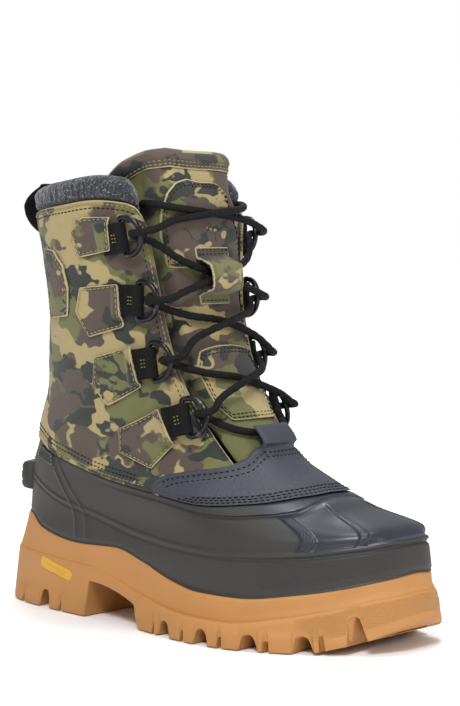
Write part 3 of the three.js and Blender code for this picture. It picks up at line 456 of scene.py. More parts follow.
def stitches(paths, length, radius, gap=0.8, sink=0.1):
    """A row of sewn stitches along each path: spindles of four rings of six points, closed by two poles."""
    centres, ways, outs = [], [], []
    for points, normals in paths:
        run = run_of(points)
        count = max(int(run[-1] / (length + gap)), 1)
        at = (np.arange(count) + 0.5) * run[-1] / count
        centres.append(sample(at, run, points))
        ways.append(unit(sample(at + 0.6, run, points) - sample(at - 0.6, run, points)))
        outs.append(sample(at, run, normals))
    centre, way, out = (np.concatenate(v) for v in (centres, ways, outs))
    out = unit(out - (out * way).sum(-1, keepdims=True) * way)
    side = np.cross(way, out)
    along = np.array([-0.5, -0.44, -0.2, 0.2, 0.44, 0.5]) * length
    thick = np.array([0, 0.62, 1, 1, 0.62, 0]) * radius
    rise = np.array([-1.6, -0.6, 0.2, 0.2, -0.6, -1.6]) * radius - sink + radius * 0.5
    angle = np.arange(6) * np.pi / 3
    along_four, rise_four, thick_four = (v[1:5, None, None, None] for v in (along, rise, thick))
    cosine, sine = (v[None, :, None, None] for v in (np.cos(angle), np.sin(angle)))
    ring = along_four * way + rise_four * out + thick_four * (cosine * side + sine * out)
    rings = (centre + ring).transpose(2, 0, 1, 3).reshape(len(centre), 24, 3)
    ends = np.stack([centre + along[k] * way + rise[k] * out for k in (0, 5)], 1)
    points = np.concatenate([rings, ends], 1)
    j, i = np.meshgrid(np.arange(3), np.arange(6), indexing="ij")
    n = (i + 1) % 6
    quads = np.stack([j * 6 + i, (j + 1) * 6 + i, (j + 1) * 6 + n, j * 6 + n], -1).reshape(-1, 4)
    k = np.arange(6)
    m = (k + 1) % 6
    first, last = np.full(6, 24), np.full(6, 25)
    tris = np.concatenate([np.stack([first, k, m], -1), np.stack([last, 18 + m, 18 + k], -1)])
    step = (np.arange(len(centre)) * 26)[:, None, None]
    shape = Shape()
    shape.add(points.reshape(-1, 3), (quads[None] + step).reshape(-1, 4))
    shape.faces.append(((tris[None] + step).reshape(-1, 3), 0))
    return shape


def skin_path(turns, levels, lift):
    low = skin(levels, turns, lift)
    out = skin(levels, turns, np.asarray(lift) + 1.0) - low
    return low, unit(out)


def tube(points, radius, sides, closed=False):
    """A round section carried along a path, its frame turned as little as possible from step to step."""
    way = unit(np.roll(points, -1, 0) - np.roll(points, 1, 0) if closed else np.gradient(points, axis=0))
    normal = np.zeros_like(points)
    first = np.cross(way[0], [0.0, 0.0, 1.0] if abs(way[0][2]) < 0.8 else [1.0, 0.0, 0.0])
    normal[0] = first / np.linalg.norm(first)
    for k in range(1, len(points)):
        carried = normal[k - 1] - (normal[k - 1] @ way[k]) * way[k]
        normal[k] = carried / np.linalg.norm(carried)
    side = np.cross(way, normal)
    angle = np.linspace(0, 2 * np.pi, sides + 1)
    ring = np.cos(angle)[None, :, None] * normal[:, None] + np.sin(angle)[None, :, None] * side[:, None]
    around = angle[None, :] / (2 * np.pi) * 1000
    uv = np.stack(np.broadcast_arrays(around, run_of(points)[:, None]), -1)
    return points[:, None] + radius * ring, uv


# ---------------------------------------------------------------- sizes and colours a user may change
def length(name, note, value):
    """A length property whose default is given in mm."""
    return bpy.props.FloatProperty(name=name, description=note, default=value * MM, unit="LENGTH")


class BootSizes(bpy.types.PropertyGroup):
    stitch: length("Stitch", "Length of one sewn stitch", 2.5)
    thread: length("Thread", "Radius of the sewing thread", 0.34)
    lace: length("Lace", "Diameter of the round lace", 4.4)
    weave: length("Weave", "Pitch of the canvas weave", 0.9)
    print_size: length("Print", "Length of one camouflage island", 24)
    pile: length("Felt pile", "Height of the felt's unevenness", 0.55)


def colour(name, note, value):
    """A colour property whose default is given as an sRGB hex number."""
    parts = [int(value[k:k + 2], 16) / 255 for k in (0, 2, 4)]
    linear = [p / 12.92 if p <= 0.04045 else ((p + 0.055) / 1.055) ** 2.4 for p in parts]
    return bpy.props.FloatVectorProperty(name=name, description=note, default=linear, subtype="COLOR",
                                         size=3, min=0, max=1)


class BootColours(bpy.types.PropertyGroup):
    gum: colour("Gum", "Sole and wrap", "B07C45")
    shell: colour("Shell", "Rubber of the sides", "2E2C2A")
    toe: colour("Toe", "Rubber of the toe cap", "262A33")
    leather: colour("Overlay", "Oiled leather of the vamp", "383A44")
    olive: colour("Olive", "Ground tone of the camouflage", "62633C")
    khaki: colour("Khaki", "Light tone of the camouflage", "9C8C60")
    brown: colour("Brown", "Brown tone of the camouflage", "4E423A")
    dark: colour("Dark", "Dark tone of the camouflage", "2B2E2B")
    raw: colour("Raw edge", "Cut edge of the canvas", "AFA078")
    felt: colour("Felt", "Liner", "323338")
    thread: colour("Thread", "Light sewing thread", "8E835A")
    dark_thread: colour("Dark thread", "Dark sewing thread", "0E0E10")
    bar_thread: colour("Bar thread", "Thread of the webbing's bar tacks", "8A8440")
    webbing: colour("Webbing", "Tape of the loops", "0C0C0E")
    cord: colour("Lace", "Round lace", "0D0D0F")
    ring: colour("Ring", "Plated wire of the rings", "23242A")
    badge: colour("Badge", "Badge on the sole", "D09A1C")


def sizes():
    return bpy.context.scene.boot_sizes


def tints():
    return bpy.context.scene.boot_colours


# ---------------------------------------------------------------- shader expressions
class Value:
    """A number socket that adds Math nodes when it is used in an expression."""

    def __init__(self, paint, socket):
        self.paint, self.socket = paint, socket

    def math(self, operation, *others):
        return self.paint.math(operation, self, *others)

    def __add__(self, other):
        return self.math("ADD", other)

    def __radd__(self, other):
        return self.paint.math("ADD", other, self)

    def __sub__(self, other):
        return self.math("SUBTRACT", other)

    def __rsub__(self, other):
        return self.paint.math("SUBTRACT", other, self)

    def __mul__(self, other):
        return self.math("MULTIPLY", other)

    def __rmul__(self, other):
        return self.paint.math("MULTIPLY", other, self)

    def __truediv__(self, other):
        return self.math("DIVIDE", other)

    def __gt__(self, other):
        return self.math("GREATER_THAN", other)

    def __abs__(self):
        return self.math("ABSOLUTE")

    def sine(self):
        return self.math("SINE")

    def most(self, other):
        return self.math("MAXIMUM", other)

    def step(self, low, high):
        """0 below low, 1 above high, and a smooth rise between them."""
        made = self.paint.node("ShaderNodeMapRange", {"interpolation_type": "SMOOTHSTEP"},
                               {"Value": self, "From Min": low, "From Max": high})
        return Value(self.paint, made.outputs["Result"])


class Paint:
    """A material under construction."""

    def __init__(self, name):
        self.material = bpy.data.materials.new(name)
        self.material.use_nodes = True
        self.tree = self.material.node_tree
        self.surface = next(n for n in self.tree.nodes if n.type == "BSDF_PRINCIPLED")

    def node(self, kind, settings, inputs):
        made = self.tree.nodes.new(kind)
        for key, value in settings.items():
            setattr(made, key, value)
        for key, value in inputs.items():
            self.feed(made.inputs[key], value)
        return made

    def feed(self, socket, value):
        if isinstance(value, Value):
            value = value.socket
        if isinstance(value, bpy.types.NodeSocket):
            self.tree.links.new(value, socket)
        elif socket.type == "RGBA" and len(value) == 3:
            socket.default_value = (*value, 1)
        else:
            socket.default_value = value

    def math(self, operation, *values):
        made = self.node("ShaderNodeMath", {"operation": operation}, dict(enumerate(values)))
        return Value(self, made.outputs[0])

    def place(self, shift=(0, 0, 0), stretch=(1, 1, 1)):
        """Object coordinates, moved and stretched."""
        at = self.node("ShaderNodeTexCoord", {}, {}).outputs["Object"]
        return self.node("ShaderNodeMapping", {}, {"Vector": at, "Location": shift, "Scale": stretch}).outputs[0]

    def uv(self):
        """The piece's own coordinates: along and up, in metres."""
        at = self.node("ShaderNodeTexCoord", {}, {}).outputs["UV"]
        parts = self.node("ShaderNodeSeparateXYZ", {}, {"Vector": at})
        return Value(self, parts.outputs[0]), Value(self, parts.outputs[1])

    def axes(self):
        at = self.node("ShaderNodeTexCoord", {}, {}).outputs["Object"]
        parts = self.node("ShaderNodeSeparateXYZ", {}, {"Vector": at})
        return [Value(self, parts.outputs[k]) for k in range(3)]

    def vector(self, operation, inputs):
        return self.node("ShaderNodeVectorMath", {"operation": operation}, inputs).outputs[0]

    def value_of(self, name):
        return Value(self, self.node("ShaderNodeAttribute", {"attribute_name": name}, {}).outputs["Fac"])

    def noise(self, at, size, detail=2.0, roughness=0.5, distortion=0.0):
        """Noise whose features are about size metres long."""
        made = self.node("ShaderNodeTexNoise", {}, {"Vector": at, "Scale": 0.8 / size, "Detail": detail,
                                                    "Roughness": roughness, "Distortion": distortion})
        return Value(self, made.outputs["Fac"])

    def cells(self, at, size):
        made = self.node("ShaderNodeTexVoronoi", {}, {"Vector": at, "Scale": 1 / size})
        return Value(self, made.outputs["Distance"])

    def blend(self, share, first, second, kind="MIX"):
        made = self.node("ShaderNodeMix", {"data_type": "RGBA", "blend_type": kind}, {})
        self.feed(made.inputs[0], share)
        self.feed(made.inputs[6], first)
        self.feed(made.inputs[7], second)
        return made.outputs[2]

    def shade(self, tint, amount):
        """A colour made darker or lighter: times a grey of that value."""
        grey = self.node("ShaderNodeCombineColor", {}, {0: amount, 1: amount, 2: amount}).outputs[0]
        return self.blend(1.0, tint, grey, "MULTIPLY")

    def bump(self, height, depth, under=None):
        """Relief: height from 0 to 1 times a depth in metres."""
        made = self.node("ShaderNodeBump", {}, {"Height": height, "Distance": depth, "Strength": 1.0})
        if under is not None:
            self.feed(made.inputs["Normal"], under)
        return made.outputs[0]

    def finish(self, **sockets):
        names = {"base": "Base Color", "roughness": "Roughness", "metallic": "Metallic", "normal": "Normal",
                 "sheen": "Sheen Weight", "coat": "Coat Weight", "coat_roughness": "Coat Roughness",
                 "specular": "Specular IOR Level"}
        for key, value in sockets.items():
            self.feed(self.surface.inputs[names[key]], value)
        return self.material


def canvas_weave(paint, pitch):
    """Plain weave: the product of two sine waves along the piece's own directions."""
    along, up = paint.uv()
    turn = 2 * math.pi / pitch
    return (along * turn).sine() * (up * turn).sine() * 0.5 + 0.5


def camouflage(name, shift, stretch):
    """Printed canvas: olive ground, then brown, khaki and thin dark islands where warped noise is high."""
    tint, paint = tints(), Paint(name)
    size = sizes().print_size * stretch
    at = paint.place(shift, (1, 1, 1.45))
    warp = {"Vector": at, "Scale": 1.9 / size, "Detail": 0.9}
    jag = paint.node("ShaderNodeTexNoise", {}, warp).outputs["Color"]
    moved = paint.vector("SUBTRACT", {0: jag, 1: (0.5, 0.5, 0.5)})
    moved = paint.vector("SCALE", {0: moved, "Scale": size * 0.95})
    at = paint.vector("ADD", {0: at, 1: moved})

    def island(offset, scale, low, width=0.012):
        here = paint.vector("ADD", {0: at, 1: offset})
        return paint.noise(here, size * scale, 0.5, 0.4).step(low - width, low + width)

    brown = island((0.31, 0.12, 0.05), 1.45, 0.478)
    khaki = island((0.07, 0.45, 0.21), 1.0, 0.565)
    spot = island((0.52, 0.27, 0.33), 0.9, 0.635)
    here = paint.vector("ADD", {0: at, 1: (0.83, 0.64, 0.72)})
    vein = 1 - abs(paint.noise(here, size * 0.9, 1.0, 0.4) - 0.5).step(0.028, 0.044)
    dark = (vein * island((0.15, 0.95, 0.4), 1.1, 0.535)).most(spot)
    base = paint.blend(brown, tint.olive, tint.brown)
    base = paint.blend(khaki, base, tint.khaki)
    base = paint.blend(dark, base, tint.dark)
    cloud = paint.noise(paint.place(shift), 0.011, 3.0, 0.6)
    fine = paint.noise(paint.place(shift), 0.0011, 2.0, 0.6)
    weave = canvas_weave(paint, sizes().weave)
    # the weave term is a painted highlight: raised threads of the weave lighter, hollows between them darker;
    # cloud and fine are random tone
    base = paint.shade(base, 0.78 + cloud * 0.26 + fine * 0.16 + weave * 0.06)
    edge = paint.value_of("edge_mm")
    fray = paint.noise(paint.place(), 0.0016, 2.0, 0.6)
    raw = 1 - (edge - fray * 0.7).step(0.1, 0.5)
    base = paint.blend(raw, base, tint.raw)
    # painted shade: the canvas colour is darkened along the sunk seam row 2.3 mm in from its edge
    seam = (1 - abs(edge - 2.3).step(0.25, 1.1)) * 0.24
    base = paint.shade(base, 1 - seam)
    normal = paint.bump(weave * 0.6 + fine * 0.7 + raw * 1.5, 0.00018)
    return paint.finish(base=base, roughness=0.82 + fine * 0.14, normal=normal, sheen=0.12)


def felt_cloth(name="felt", tint=None):
    """Needled felt: pale and black fibre specks over a dark ground, with a deep soft relief."""
    paint = Paint(name)
    at = paint.place()
    fleck = paint.noise(at, 0.0011, 3.0, 0.75)
    tuft = paint.noise(at, 0.0034, 3.0, 0.65, 0.6)
    base = paint.shade(tint or tints().felt, 0.35 + tuft * 0.75 + fleck * 0.5)
    base = paint.blend(fleck.step(0.585, 0.67), base, (0.34, 0.35, 0.38))
    base = paint.blend(1 - fleck.step(0.33, 0.42), base, (0.008, 0.008, 0.01))
    normal = paint.bump(fleck * 0.6 + tuft, 0.0009)
    return paint.finish(base=base, roughness=0.98, normal=normal, sheen=0.35, specular=0.15)


def lattice(along, high, fineness):
    """Crossed waves that lean both ways: the product of two sines."""
    return ((along + high) * fineness).sine() * ((along - high) * fineness).sine()


def gum_rubber():
    """Matte gum: faint mottling, a little darker on its lowest 2 cm, and a lattice relief where knurl says."""
    paint = Paint("gum_rubber")
    at = paint.place()
    cloud = paint.noise(at, 0.03, 3.0, 0.6)
    grain = paint.noise(at, 0.0009, 2.0, 0.6)
    up = paint.axes()[2]
    knurl = paint.value_of("knurl")
    cut = lattice(*paint.uv(), 2600.0).step(-0.1, 0.35) * knurl.step(0.2, 0.8)
    # the up term makes the gum a little darker on its lowest 2 cm
    base = paint.shade(tints().gum, 0.86 + cloud * 0.2 + grain * 0.08 - cut * 0.1 + up.step(0.0, 0.02) * 0.05)
    normal = paint.bump(grain * 0.5 + cut * 1.3, 0.00022)
    return paint.finish(base=base, roughness=0.5 + grain * 0.16, normal=normal, specular=0.42)


def shell_rubber():
    """Moulded rubber: glossier, cooler toe, warmer satin sides, hatch on the ribs, lattice on the rand."""
    paint = Paint("shell_rubber")
    at = paint.place()
    cloud = paint.noise(at, 0.04, 3.0, 0.6)
    grain = paint.noise(at, 0.0008, 2.0, 0.65)
    toe = paint.value_of("toe_gloss").step(0.0, 1.0)
    along, high = paint.uv()
    cut = lattice(along, high, 2500.0).step(0.0, 0.4) * paint.value_of("knurl").step(0.2, 0.8)
    hatch = ((along * 0.8 - high) * 4200.0).sine().step(-0.2, 0.4) * paint.value_of("hatch").step(0.35, 0.8)
    base = paint.blend(toe, tints().shell, tints().toe)
    # painted highlight: the raised hatch lines are painted lighter than the grooves between them
    base = paint.shade(base, 0.84 + cloud * 0.26 + grain * 0.1 + hatch * 0.22 - cut * 0.12)
    rough = 0.46 - toe * 0.2 + grain * 0.1 + hatch * 0.14 + cloud * 0.06
    normal = paint.bump(grain * 0.3 + cut * 1.2 + hatch * 2.2, 0.00022)
    return paint.finish(base=base, roughness=rough, normal=normal, specular=0.5)


def overlay_leather(name, tint):
    """Oiled leather: fine pebble from small cells, soft creases, paler worn edges."""
    paint = Paint(name)
    at = paint.place()
    pebble = paint.cells(at, 0.0013)
    cloud = paint.noise(at, 0.018, 3.0, 0.6)
    crease = paint.noise(paint.place((0, 0, 0), (1, 1, 2.2)), 0.006, 3.0, 0.6, 0.8)
    worn = 1 - paint.value_of("edge_mm").step(0.2, 0.9)
    base = paint.shade(tint, 0.8 + cloud * 0.34 + pebble * 0.1 + worn * 0.25)
    normal = paint.bump(pebble * 0.7 + crease * 1.1, 0.0003)
    return paint.finish(base=base, roughness=0.5 + cloud * 0.12 + worn * 0.1, normal=normal, specular=0.42)


def woven_tape():
    """Polyester tape: ribs across, crossed by a finer pick."""
    paint = Paint("webbing")
    along, up = paint.uv()
    rib = (along * 5200.0).sine() * 0.5 + 0.5
    pick = (up * 7400.0 + rib * 2.0).sine() * 0.5 + 0.5
    fine = paint.noise(paint.place(), 0.0009, 2.0, 0.6)
    # painted highlight and shade: the raised ribs and picks are painted lighter, the hollows between them darker
    base = paint.shade(tints().webbing, 0.6 + rib * 0.3 + pick * 0.3 + fine * 0.4)
    normal = paint.bump(rib * 0.7 + pick * 0.5, 0.00025)
    return paint.finish(base=base, roughness=0.72 + fine * 0.16, normal=normal, specular=0.22)


def braided_lace():
    """Braid: two sets of strands wound opposite ways, the higher one showing."""
    paint = Paint("lace_braid")
    around, run = paint.uv()
    first = ((around * 8.0 + run * 360.0) * (2 * math.pi)).sine()
    second = ((around * 8.0 - run * 360.0) * (2 * math.pi)).sine()
    strand = first.most(second) * 0.5 + 0.5
    fine = paint.noise(paint.place(), 0.0008, 2.0, 0.6)
    # painted highlight and shade: the higher strands are painted lighter, the hollows between strands darker
    base = paint.shade(tints().cord, 0.4 + strand * 0.9 + fine * 0.5)
    normal = paint.bump(strand, 0.00035)
    return paint.finish(base=base, roughness=0.66 + fine * 0.2, normal=normal, specular=0.2)


def thread_of(name, tint):
    paint = Paint(name)
    fine = paint.noise(paint.place(), 0.0006, 2.0, 0.6)
    return paint.finish(base=paint.shade(tint, 0.72 + fine * 0.55), roughness=0.62, specular=0.25)


def plated_wire():
    """Black plated wire, rubbed to grey in scattered patches."""
    paint = Paint("ring_plating")
    at = paint.place()
    rub = paint.noise(at, 0.006, 3.0, 0.65)
    scratch = paint.noise(paint.place((0, 0, 0), (1, 1, 6)), 0.0012, 2.0, 0.6)
    worn = rub.step(0.56, 0.7)
    base = paint.blend(worn, tints().ring, (0.13, 0.135, 0.145))
    normal = paint.bump(scratch, 0.00006)
    return paint.finish(base=base, metallic=0.85, roughness=0.26 + scratch * 0.16, normal=normal, coat=0.25,
                        coat_roughness=0.2)


def plain_moulding(name, tint, roughness=0.45, metallic=0.0, grain_size=0.0011, depth=0.00012):
    """A moulded, pressed or brushed finish: mottled colour and a fine grain."""
    paint = Paint(name)
    at = paint.place()
    cloud = paint.noise(at, 0.012, 3.0, 0.6)
    grain = paint.noise(at, grain_size, 2.0, 0.6)
    base = paint.shade(tint, 0.82 + cloud * 0.26 + grain * 0.1)
    return paint.finish(base=base, roughness=roughness + grain * 0.12, metallic=metallic,
                        normal=paint.bump(grain, depth))


# ---------------------------------------------------------------- shared stock
STOCK = {}


def stock(name, maker, *arguments):
    """A material made once and shared."""
    if name not in STOCK:
        STOCK[name] = maker(*arguments)
    return STOCK[name]


def camo(name, shift, stretch=1.0):
    """The printed canvas of one piece, its drawing shifted and stretched."""
    return stock("camo_" + name, camouflage, "camo_" + name, shift, stretch)


def light_thread():
    return stock("light_thread", thread_of, "light_thread", tints().thread)


def dark_thread():
    return stock("dark_thread", thread_of, "dark_thread", tints().dark_thread)


def sew(name, paths, material, length=None, radius=None):
    """Rows of stitches as one piece; length and radius are in mm, and come from the sizes if not given."""
    shape = stitches(paths, length or sizes().stitch / MM, radius or sizes().thread / MM)
    return build(name, shape, material, weld=1e-9)


# ---------------------------------------------------------------- sole
def sole_side_lift(turn):
    return 1.6 + ball_flare(turn)


GROOVES = [(-22, 4.25, 9, -0.06), (-51, 4.25, 9, 0.0), (-79, 4.25, 9, 0.06), (-106, 4.25, 9.5, 0.12),
           (-135, 3.0, 14.5, 0.06), (105, 4.25, 11, 0.06)]
SLITS = [(-8.5, 1.3, 5.5), (-36, 1.3, 6), (-65, 1.3, 6), (-92.5, 1.3, 6), (-121, 0.9, 8), (-147, 1.4, 17),
         (85, 1.3, 5), (127, 1.3, 5)]


def groove_height(x, y):
    """Height of the cuts across the tread: a round-topped bar where a cut's line is near, else 0."""
    height = np.zeros_like(x)
    for middle, radius, top, slope in GROOVES:
        off = np.abs((y - SHIFT[1] - middle) - np.tan(slope) * (x - SHIFT[0]))
        arch = top - radius + np.sqrt(np.clip(radius**2 - off**2, 0, None))
        slope_side = (top - radius) * (1 - np.clip((off - radius) / 1.5, 0, 1))
        height = np.maximum(height, np.where(off < radius, arch, slope_side))
    for middle, radius, top in SLITS:
        off = np.abs(y - SHIFT[1] - middle)
        near_rim = smooth(np.abs(x - SHIFT[0] - 2), 22, 25)
        arch = top - radius + np.sqrt(np.clip(radius**2 - off**2, 0, None))
        height = np.maximum(height, np.where(off < radius, arch, 0) * near_rim)
    for lane in (-16, 22):
        off = np.abs(x - SHIFT[0] - lane)
        inside = (y > -116) & (y < -14)
        height = np.maximum(height, np.where((off < 2.5) & inside, 6, 0))
    off = np.abs(x - SHIFT[0])
    return np.maximum(height, np.where((off < 2.5) & (y > 72), 6, 0))


class BOOT_OT_outsole(bpy.types.Operator):
    """Lugged outsole: its tread is a height over the outline, and its sides run up to the step"""
    bl_idname = "boot.outsole"
    bl_label = "Outsole"

    def execute(self, context):
        half = np.unique(np.concatenate([even_turns(0, 1, 420, 4), np.linspace(0.364, 0.376, 9),
                                         np.linspace(0.466, 0.488, 9)]))
        ring = np.concatenate([half, (2 - half[::-1])[1:]])
        rows = np.concatenate([[0, 0.02, 0.05], np.linspace(0.1, 0.9, 17), [0.95, 0.985, 1]])

        def side(turn, share):
            rim = skin(TREAD(turn), turn, sole_side_lift(turn))
            foot = TREAD(turn) + groove_height(rim[..., 0], rim[..., 1])
            top = SOLE_STEP(turn)
            level = mix(foot, top, share)
            lug = 1.1 * (1 - smooth(level, 8, 12.5)) * smooth(fold(turn), 0.1, 0.16)
            cut = groove_height(rim[..., 0], rim[..., 1]) > 0
            corner = 0.9 * (1 - rounded(share * (top - foot), 1.4))
            corner = corner + 1.9 * (1 - rounded((1 - share) * (top - foot), 3.0))
            return skin(level, turn, sole_side_lift(turn) + 0.7 + np.where(cut, 0, lug) - corner)

        turns, shares = np.meshgrid(ring, rows, indexing="ij")
        walls = side(turns, shares)
        uv = unroll(arc_length(ring, 10), walls[..., 2])
        toe = smooth(fold(turns), 0.72, 0.76) * smooth(shares, 0.25, 0.35) * (1 - smooth(shares, 0.86, 0.94))
        shape = Shape().grid(walls, uv, knurl=toe)
        top = walls[:, -1]
        ledge = skin(SOLE_STEP(ring), ring, np.full(ring.shape, -8.0))
        shape.grid(np.stack([top, mix(top, ledge, 0.08), ledge], 1), knurl=0.0)
        count = len(half)
        outer_rim = walls[:count, 0]
        inner_rim = walls[::-1][:count, 0]
        across = np.concatenate([[0, 0.012], np.linspace(0.03, 0.97, 90), [0.988, 1]])
        base = mix(outer_rim[:, None], inner_rim[:, None], across[None, :, None])
        cuts = groove_height(base[..., 0], base[..., 1])
        inner = np.clip(np.minimum(across, 1 - across) * 60, 0, 1)[None, :]
        flat = TREAD(half)[:, None] + cuts
        base[..., 2] = mix(base[..., 2], flat, inner)
        shape.grid(base, turned=True, knurl=0.0)
        upper = np.stack([ledge[:count], ledge[::-1][:count]], 1)
        shape.grid(upper, knurl=0.0)
        build("outsole_tread", shape, stock("gum", gum_rubber), ["outsole"], sharp=38, weld=2e-5)
        return {"FINISHED"}


class BOOT_OT_wrap(bpy.types.Operator):
    """Gum wrap: a closed ring from the outsole's step to a rounded lip under the shell"""
    bl_idname = "boot.wrap"
    bl_label = "Gum wrap"

    def execute(self, context):
        turns = even_turns(0, 2, 560, 30)
        rise = np.concatenate([[0, 0.015, 0.04, 0.08], np.linspace(0.14, 0.9, 12), [0.95, 0.975, 0.99, 1]])
        place, share = np.meshgrid(turns, rise, indexing="ij")
        low, high = SOLE_STEP(place) - 0.3, GUM_TOP(place)
        level = mix(low, high, share)
        height = high - low
        lift = 0.9 + 0.4 * ball_flare(place) - 0.5 * np.sin(np.pi * share)
        lift = lift - 1.5 * (1 - rounded((1 - share) * height, 2.2)) + 0.5 * (1 - smooth(share, 0, 0.35))
        outer = skin(level, place, lift)
        place_in, share_in = np.meshgrid(turns, np.linspace(1, 0, 4), indexing="ij")
        inner = skin(mix(SOLE_STEP(place_in) - 0.3, GUM_TOP(place_in), share_in), place_in, -4.0)
        loop = np.concatenate([outer, inner, outer[:, :1]], 1)
        uv = unroll(arc_length(turns, 30), loop[..., 2])
        build("gum_wrap", Shape().grid(loop, uv, knurl=0.0), stock("gum", gum_rubber),
              ["midsole_wrap"], sharp=60)
        return {"FINISHED"}


class BOOT_OT_badge(bpy.types.Operator):
    """Badge on the heel block: a bevelled plate with one plain raised bar"""
    bl_idname = "boot.badge"
    bl_label = "Sole badge"

    def execute(self, context):
        corners = [(0.25, 32), (0.245, 28.5), (0.25, 25), (0.331, 19.5), (0.336, 23), (0.331, 26.5)]
        material = stock("badge", plain_moulding, "badge_yellow", tints().badge, 0.35)

        def place(turn, level, height):
            return skin(level, turn, sole_side_lift(turn) - 0.1 + height)

        def bars(turn, level):
            along = level - mix(28.5, 23, (turn - 0.25) / 0.081)
            return 0.5 * bell(along, 0, 0.8) * smooth(turn, 0.262, 0.27) * (1 - smooth(turn, 0.313, 0.32))

        made = plate(outline_of(corners, 5, 2), place, 1.3, 0.8, bars)
        build("sole_badge_plate", made, material, ["sole_badge"])
        return {"FINISHED"}


# ---------------------------------------------------------------- shell
def rib(turn, level, top, bottom, width):
    """1 on a band that leans from one place at its top to another at its foot, with soft sides."""
    middle = mix(bottom[0], top[0], np.clip((level - bottom[1]) / (top[1] - bottom[1]), -0.2, 1.2))
    off = np.abs(fold(turn) - middle)
    return 1 - smooth(off, width * 0.75, width * 1.15)


class BOOT_OT_shell(bpy.types.Operator):
    """Rubber shell: the skin from the gum wrap to the hem, with bumper line, toe ribs, lip and heel ribs"""
    bl_idname = "boot.shell"
    bl_label = "Rubber shell"

    def execute(self, context):
        turns = even_turns(0, 2, 700, 60)
        rise = np.concatenate([np.linspace(-0.12, -0.01, 4), ease_ends(120, 0.25)])
        place, share = np.meshgrid(turns, rise, indexing="ij")
        low, high = GUM_TOP(place), HEM(place) - 0.35
        level = mix(low, high, share)
        side = fold(place)
        ridge = RIDGE(place)
        front = smooth(side, 0.5, 0.72)
        bead = (0.6 + 1.0 * front) * np.exp(-np.abs((level - ridge) / 1.25) ** 4)
        bead = bead - (0.5 + 0.6 * front) * bell(level, ridge - 2.5, 0.9)
        rand = (0.5 + 0.6 * front) * (1 - smooth(level, ridge - 2.2, ridge - 0.6))
        foot_groove = -0.5 * bell(level, low + 1.2, 1.0)
        lip_low = HEM(place) - mix(3.2, 5.2, smooth(side, 0.54, 0.7)) + 3.4 * smooth(side, 0.8, 1.0)
        ahead = smooth(side, 0.4, 0.52)
        lip = 1.1 * ahead * (1 - 0.75 * smooth(side, 0.78, 0.93)) * smooth(level, lip_low - 0.5, lip_low + 0.6)
        lip = lip - 0.5 * ahead * bell(level, lip_low - 1.1, 0.9)
        above = smooth(level, ridge + 0.5, ridge + 2.5) * (1 - smooth(level, lip_low - 2.4, lip_low - 1.0))
        first = rib(place, level, (0.788, 79), (0.752, 55), 0.013)
        second = rib(place, level, (0.955, 82), (0.85, 58), 0.011)
        ribs = np.maximum(first, second) * above
        cap = smooth(side, 0.755, 0.79) * above * (1 - ribs)
        heel_middle = mix(0.345, 0.296, np.clip((level - 45) / 45, 0, 1))
        heel_ribs = np.maximum(bell(side, heel_middle - 0.013, 0.0038), bell(side, heel_middle + 0.013, 0.0038))
        heel_ribs = heel_ribs * smooth(level, low + 1, low + 4) * (1 - smooth(level, high - 4, high - 1))
        fuller = smooth(level, ridge, ridge + 8) * (1 - smooth(level, ridge + 6, ridge + 15))
        toe = 3.0 * fuller * smooth(side, 0.74, 0.92)
        lift = toe + bead + rand + foot_groove + lip + 0.95 * ribs + 0.25 * cap + 0.8 * heel_ribs
        lift = lift + 0.12 * ripple(skin(level, place), 55, 3)
        lift = lift - 0.9 * (1 - rounded((1 - share) * (high - low), 1.2))
        lift = np.where(share < 0, -3.6, lift)
        outer = skin(level, place, lift)
        inner_share = np.linspace(1, -0.12, 14)
        place_in, share_in = np.meshgrid(turns, inner_share, indexing="ij")
        level_in = mix(GUM_TOP(place_in), HEM(place_in) - 0.35, share_in)
        inner = skin(level_in, place_in, np.where(share_in < 0, -6.9, SHELL_IN))
        loop = np.concatenate([outer, inner, outer[:, :1]], 1)
        uv = unroll(arc_length(turns, 60), loop[..., 2])

        def full(value):
            """The value on the outer rows, and 0 on the rows of the inside."""
            out = np.zeros(loop.shape[:2])
            out[:, :outer.shape[1]] = value
            return out

        between = smooth(level, low + 4, low + 6) * (1 - smooth(level, ridge - 5, ridge - 3))
        knurl = smooth(side, 0.66, 0.7) * between
        gloss = smooth(side, 0.69, 0.8) * smooth(level, ridge - 1, ridge + 1)
        shape = Shape().grid(loop, uv, knurl=full(knurl), toe_gloss=full(gloss), hatch=full(ribs))
        rubber = stock("shell", shell_rubber)
        build("shell_rubber_upper", shape, rubber, ["rubber_shell"], sharp=70)
        self.tab(rubber)
        return {"FINISHED"}

    @staticmethod
    def tab(rubber):
        """Kick tab at the heel: a rounded profile that sinks into the shell at both ends."""
        turns = even_turns(-0.115, 0.115, 60, 79)
        profile = np.array([(69.8, -1.5), (70.0, 3.0), (70.7, 5.8), (72.4, 7.3), (76, 7.8), (80, 7.9),
                            (84.4, 7.7), (87.0, 6.6), (87.8, 4), (87.9, -1.5)])
        corners = np.arange(len(profile))
        run = np.linspace(0, len(profile) - 1, 40)
        level = np.interp(run, corners, profile[:, 0])
        reach = Curve(np.stack([corners, profile[:, 1]], -1))(run)
        ends = rounded((1 - np.abs(turns) / 0.115) * 17, 6)
        grooves = 1 - 0.07 * (bell(level, 75.8, 0.6) + bell(level, 82, 0.6))
        lift = -1.5 + (reach[None, :] + 1.5) * (0.25 + 0.75 * ends[:, None]) * grooves[None, :]
        outer = skin(level[None, :], turns[:, None], lift)
        inner = skin(level[None, :], turns[:, None], np.full(lift.shape, -1.8))
        uv = unroll(arc_length(turns, 79), outer[..., 2])
        shape = Shape().wall(outer, inner, uv, knurl=0.0, toe_gloss=0.0, hatch=0.0)
        build("heel_kick_tab", shape, rubber)


# ---------------------------------------------------------------- liner
def stacked(rows, turns):
    """Levels and lifts of a grid whose rows are given as pairs; a plain number holds all along its row."""
    return (np.stack([row[k] + 0 * turns for row in rows], 1) for k in (0, 1))


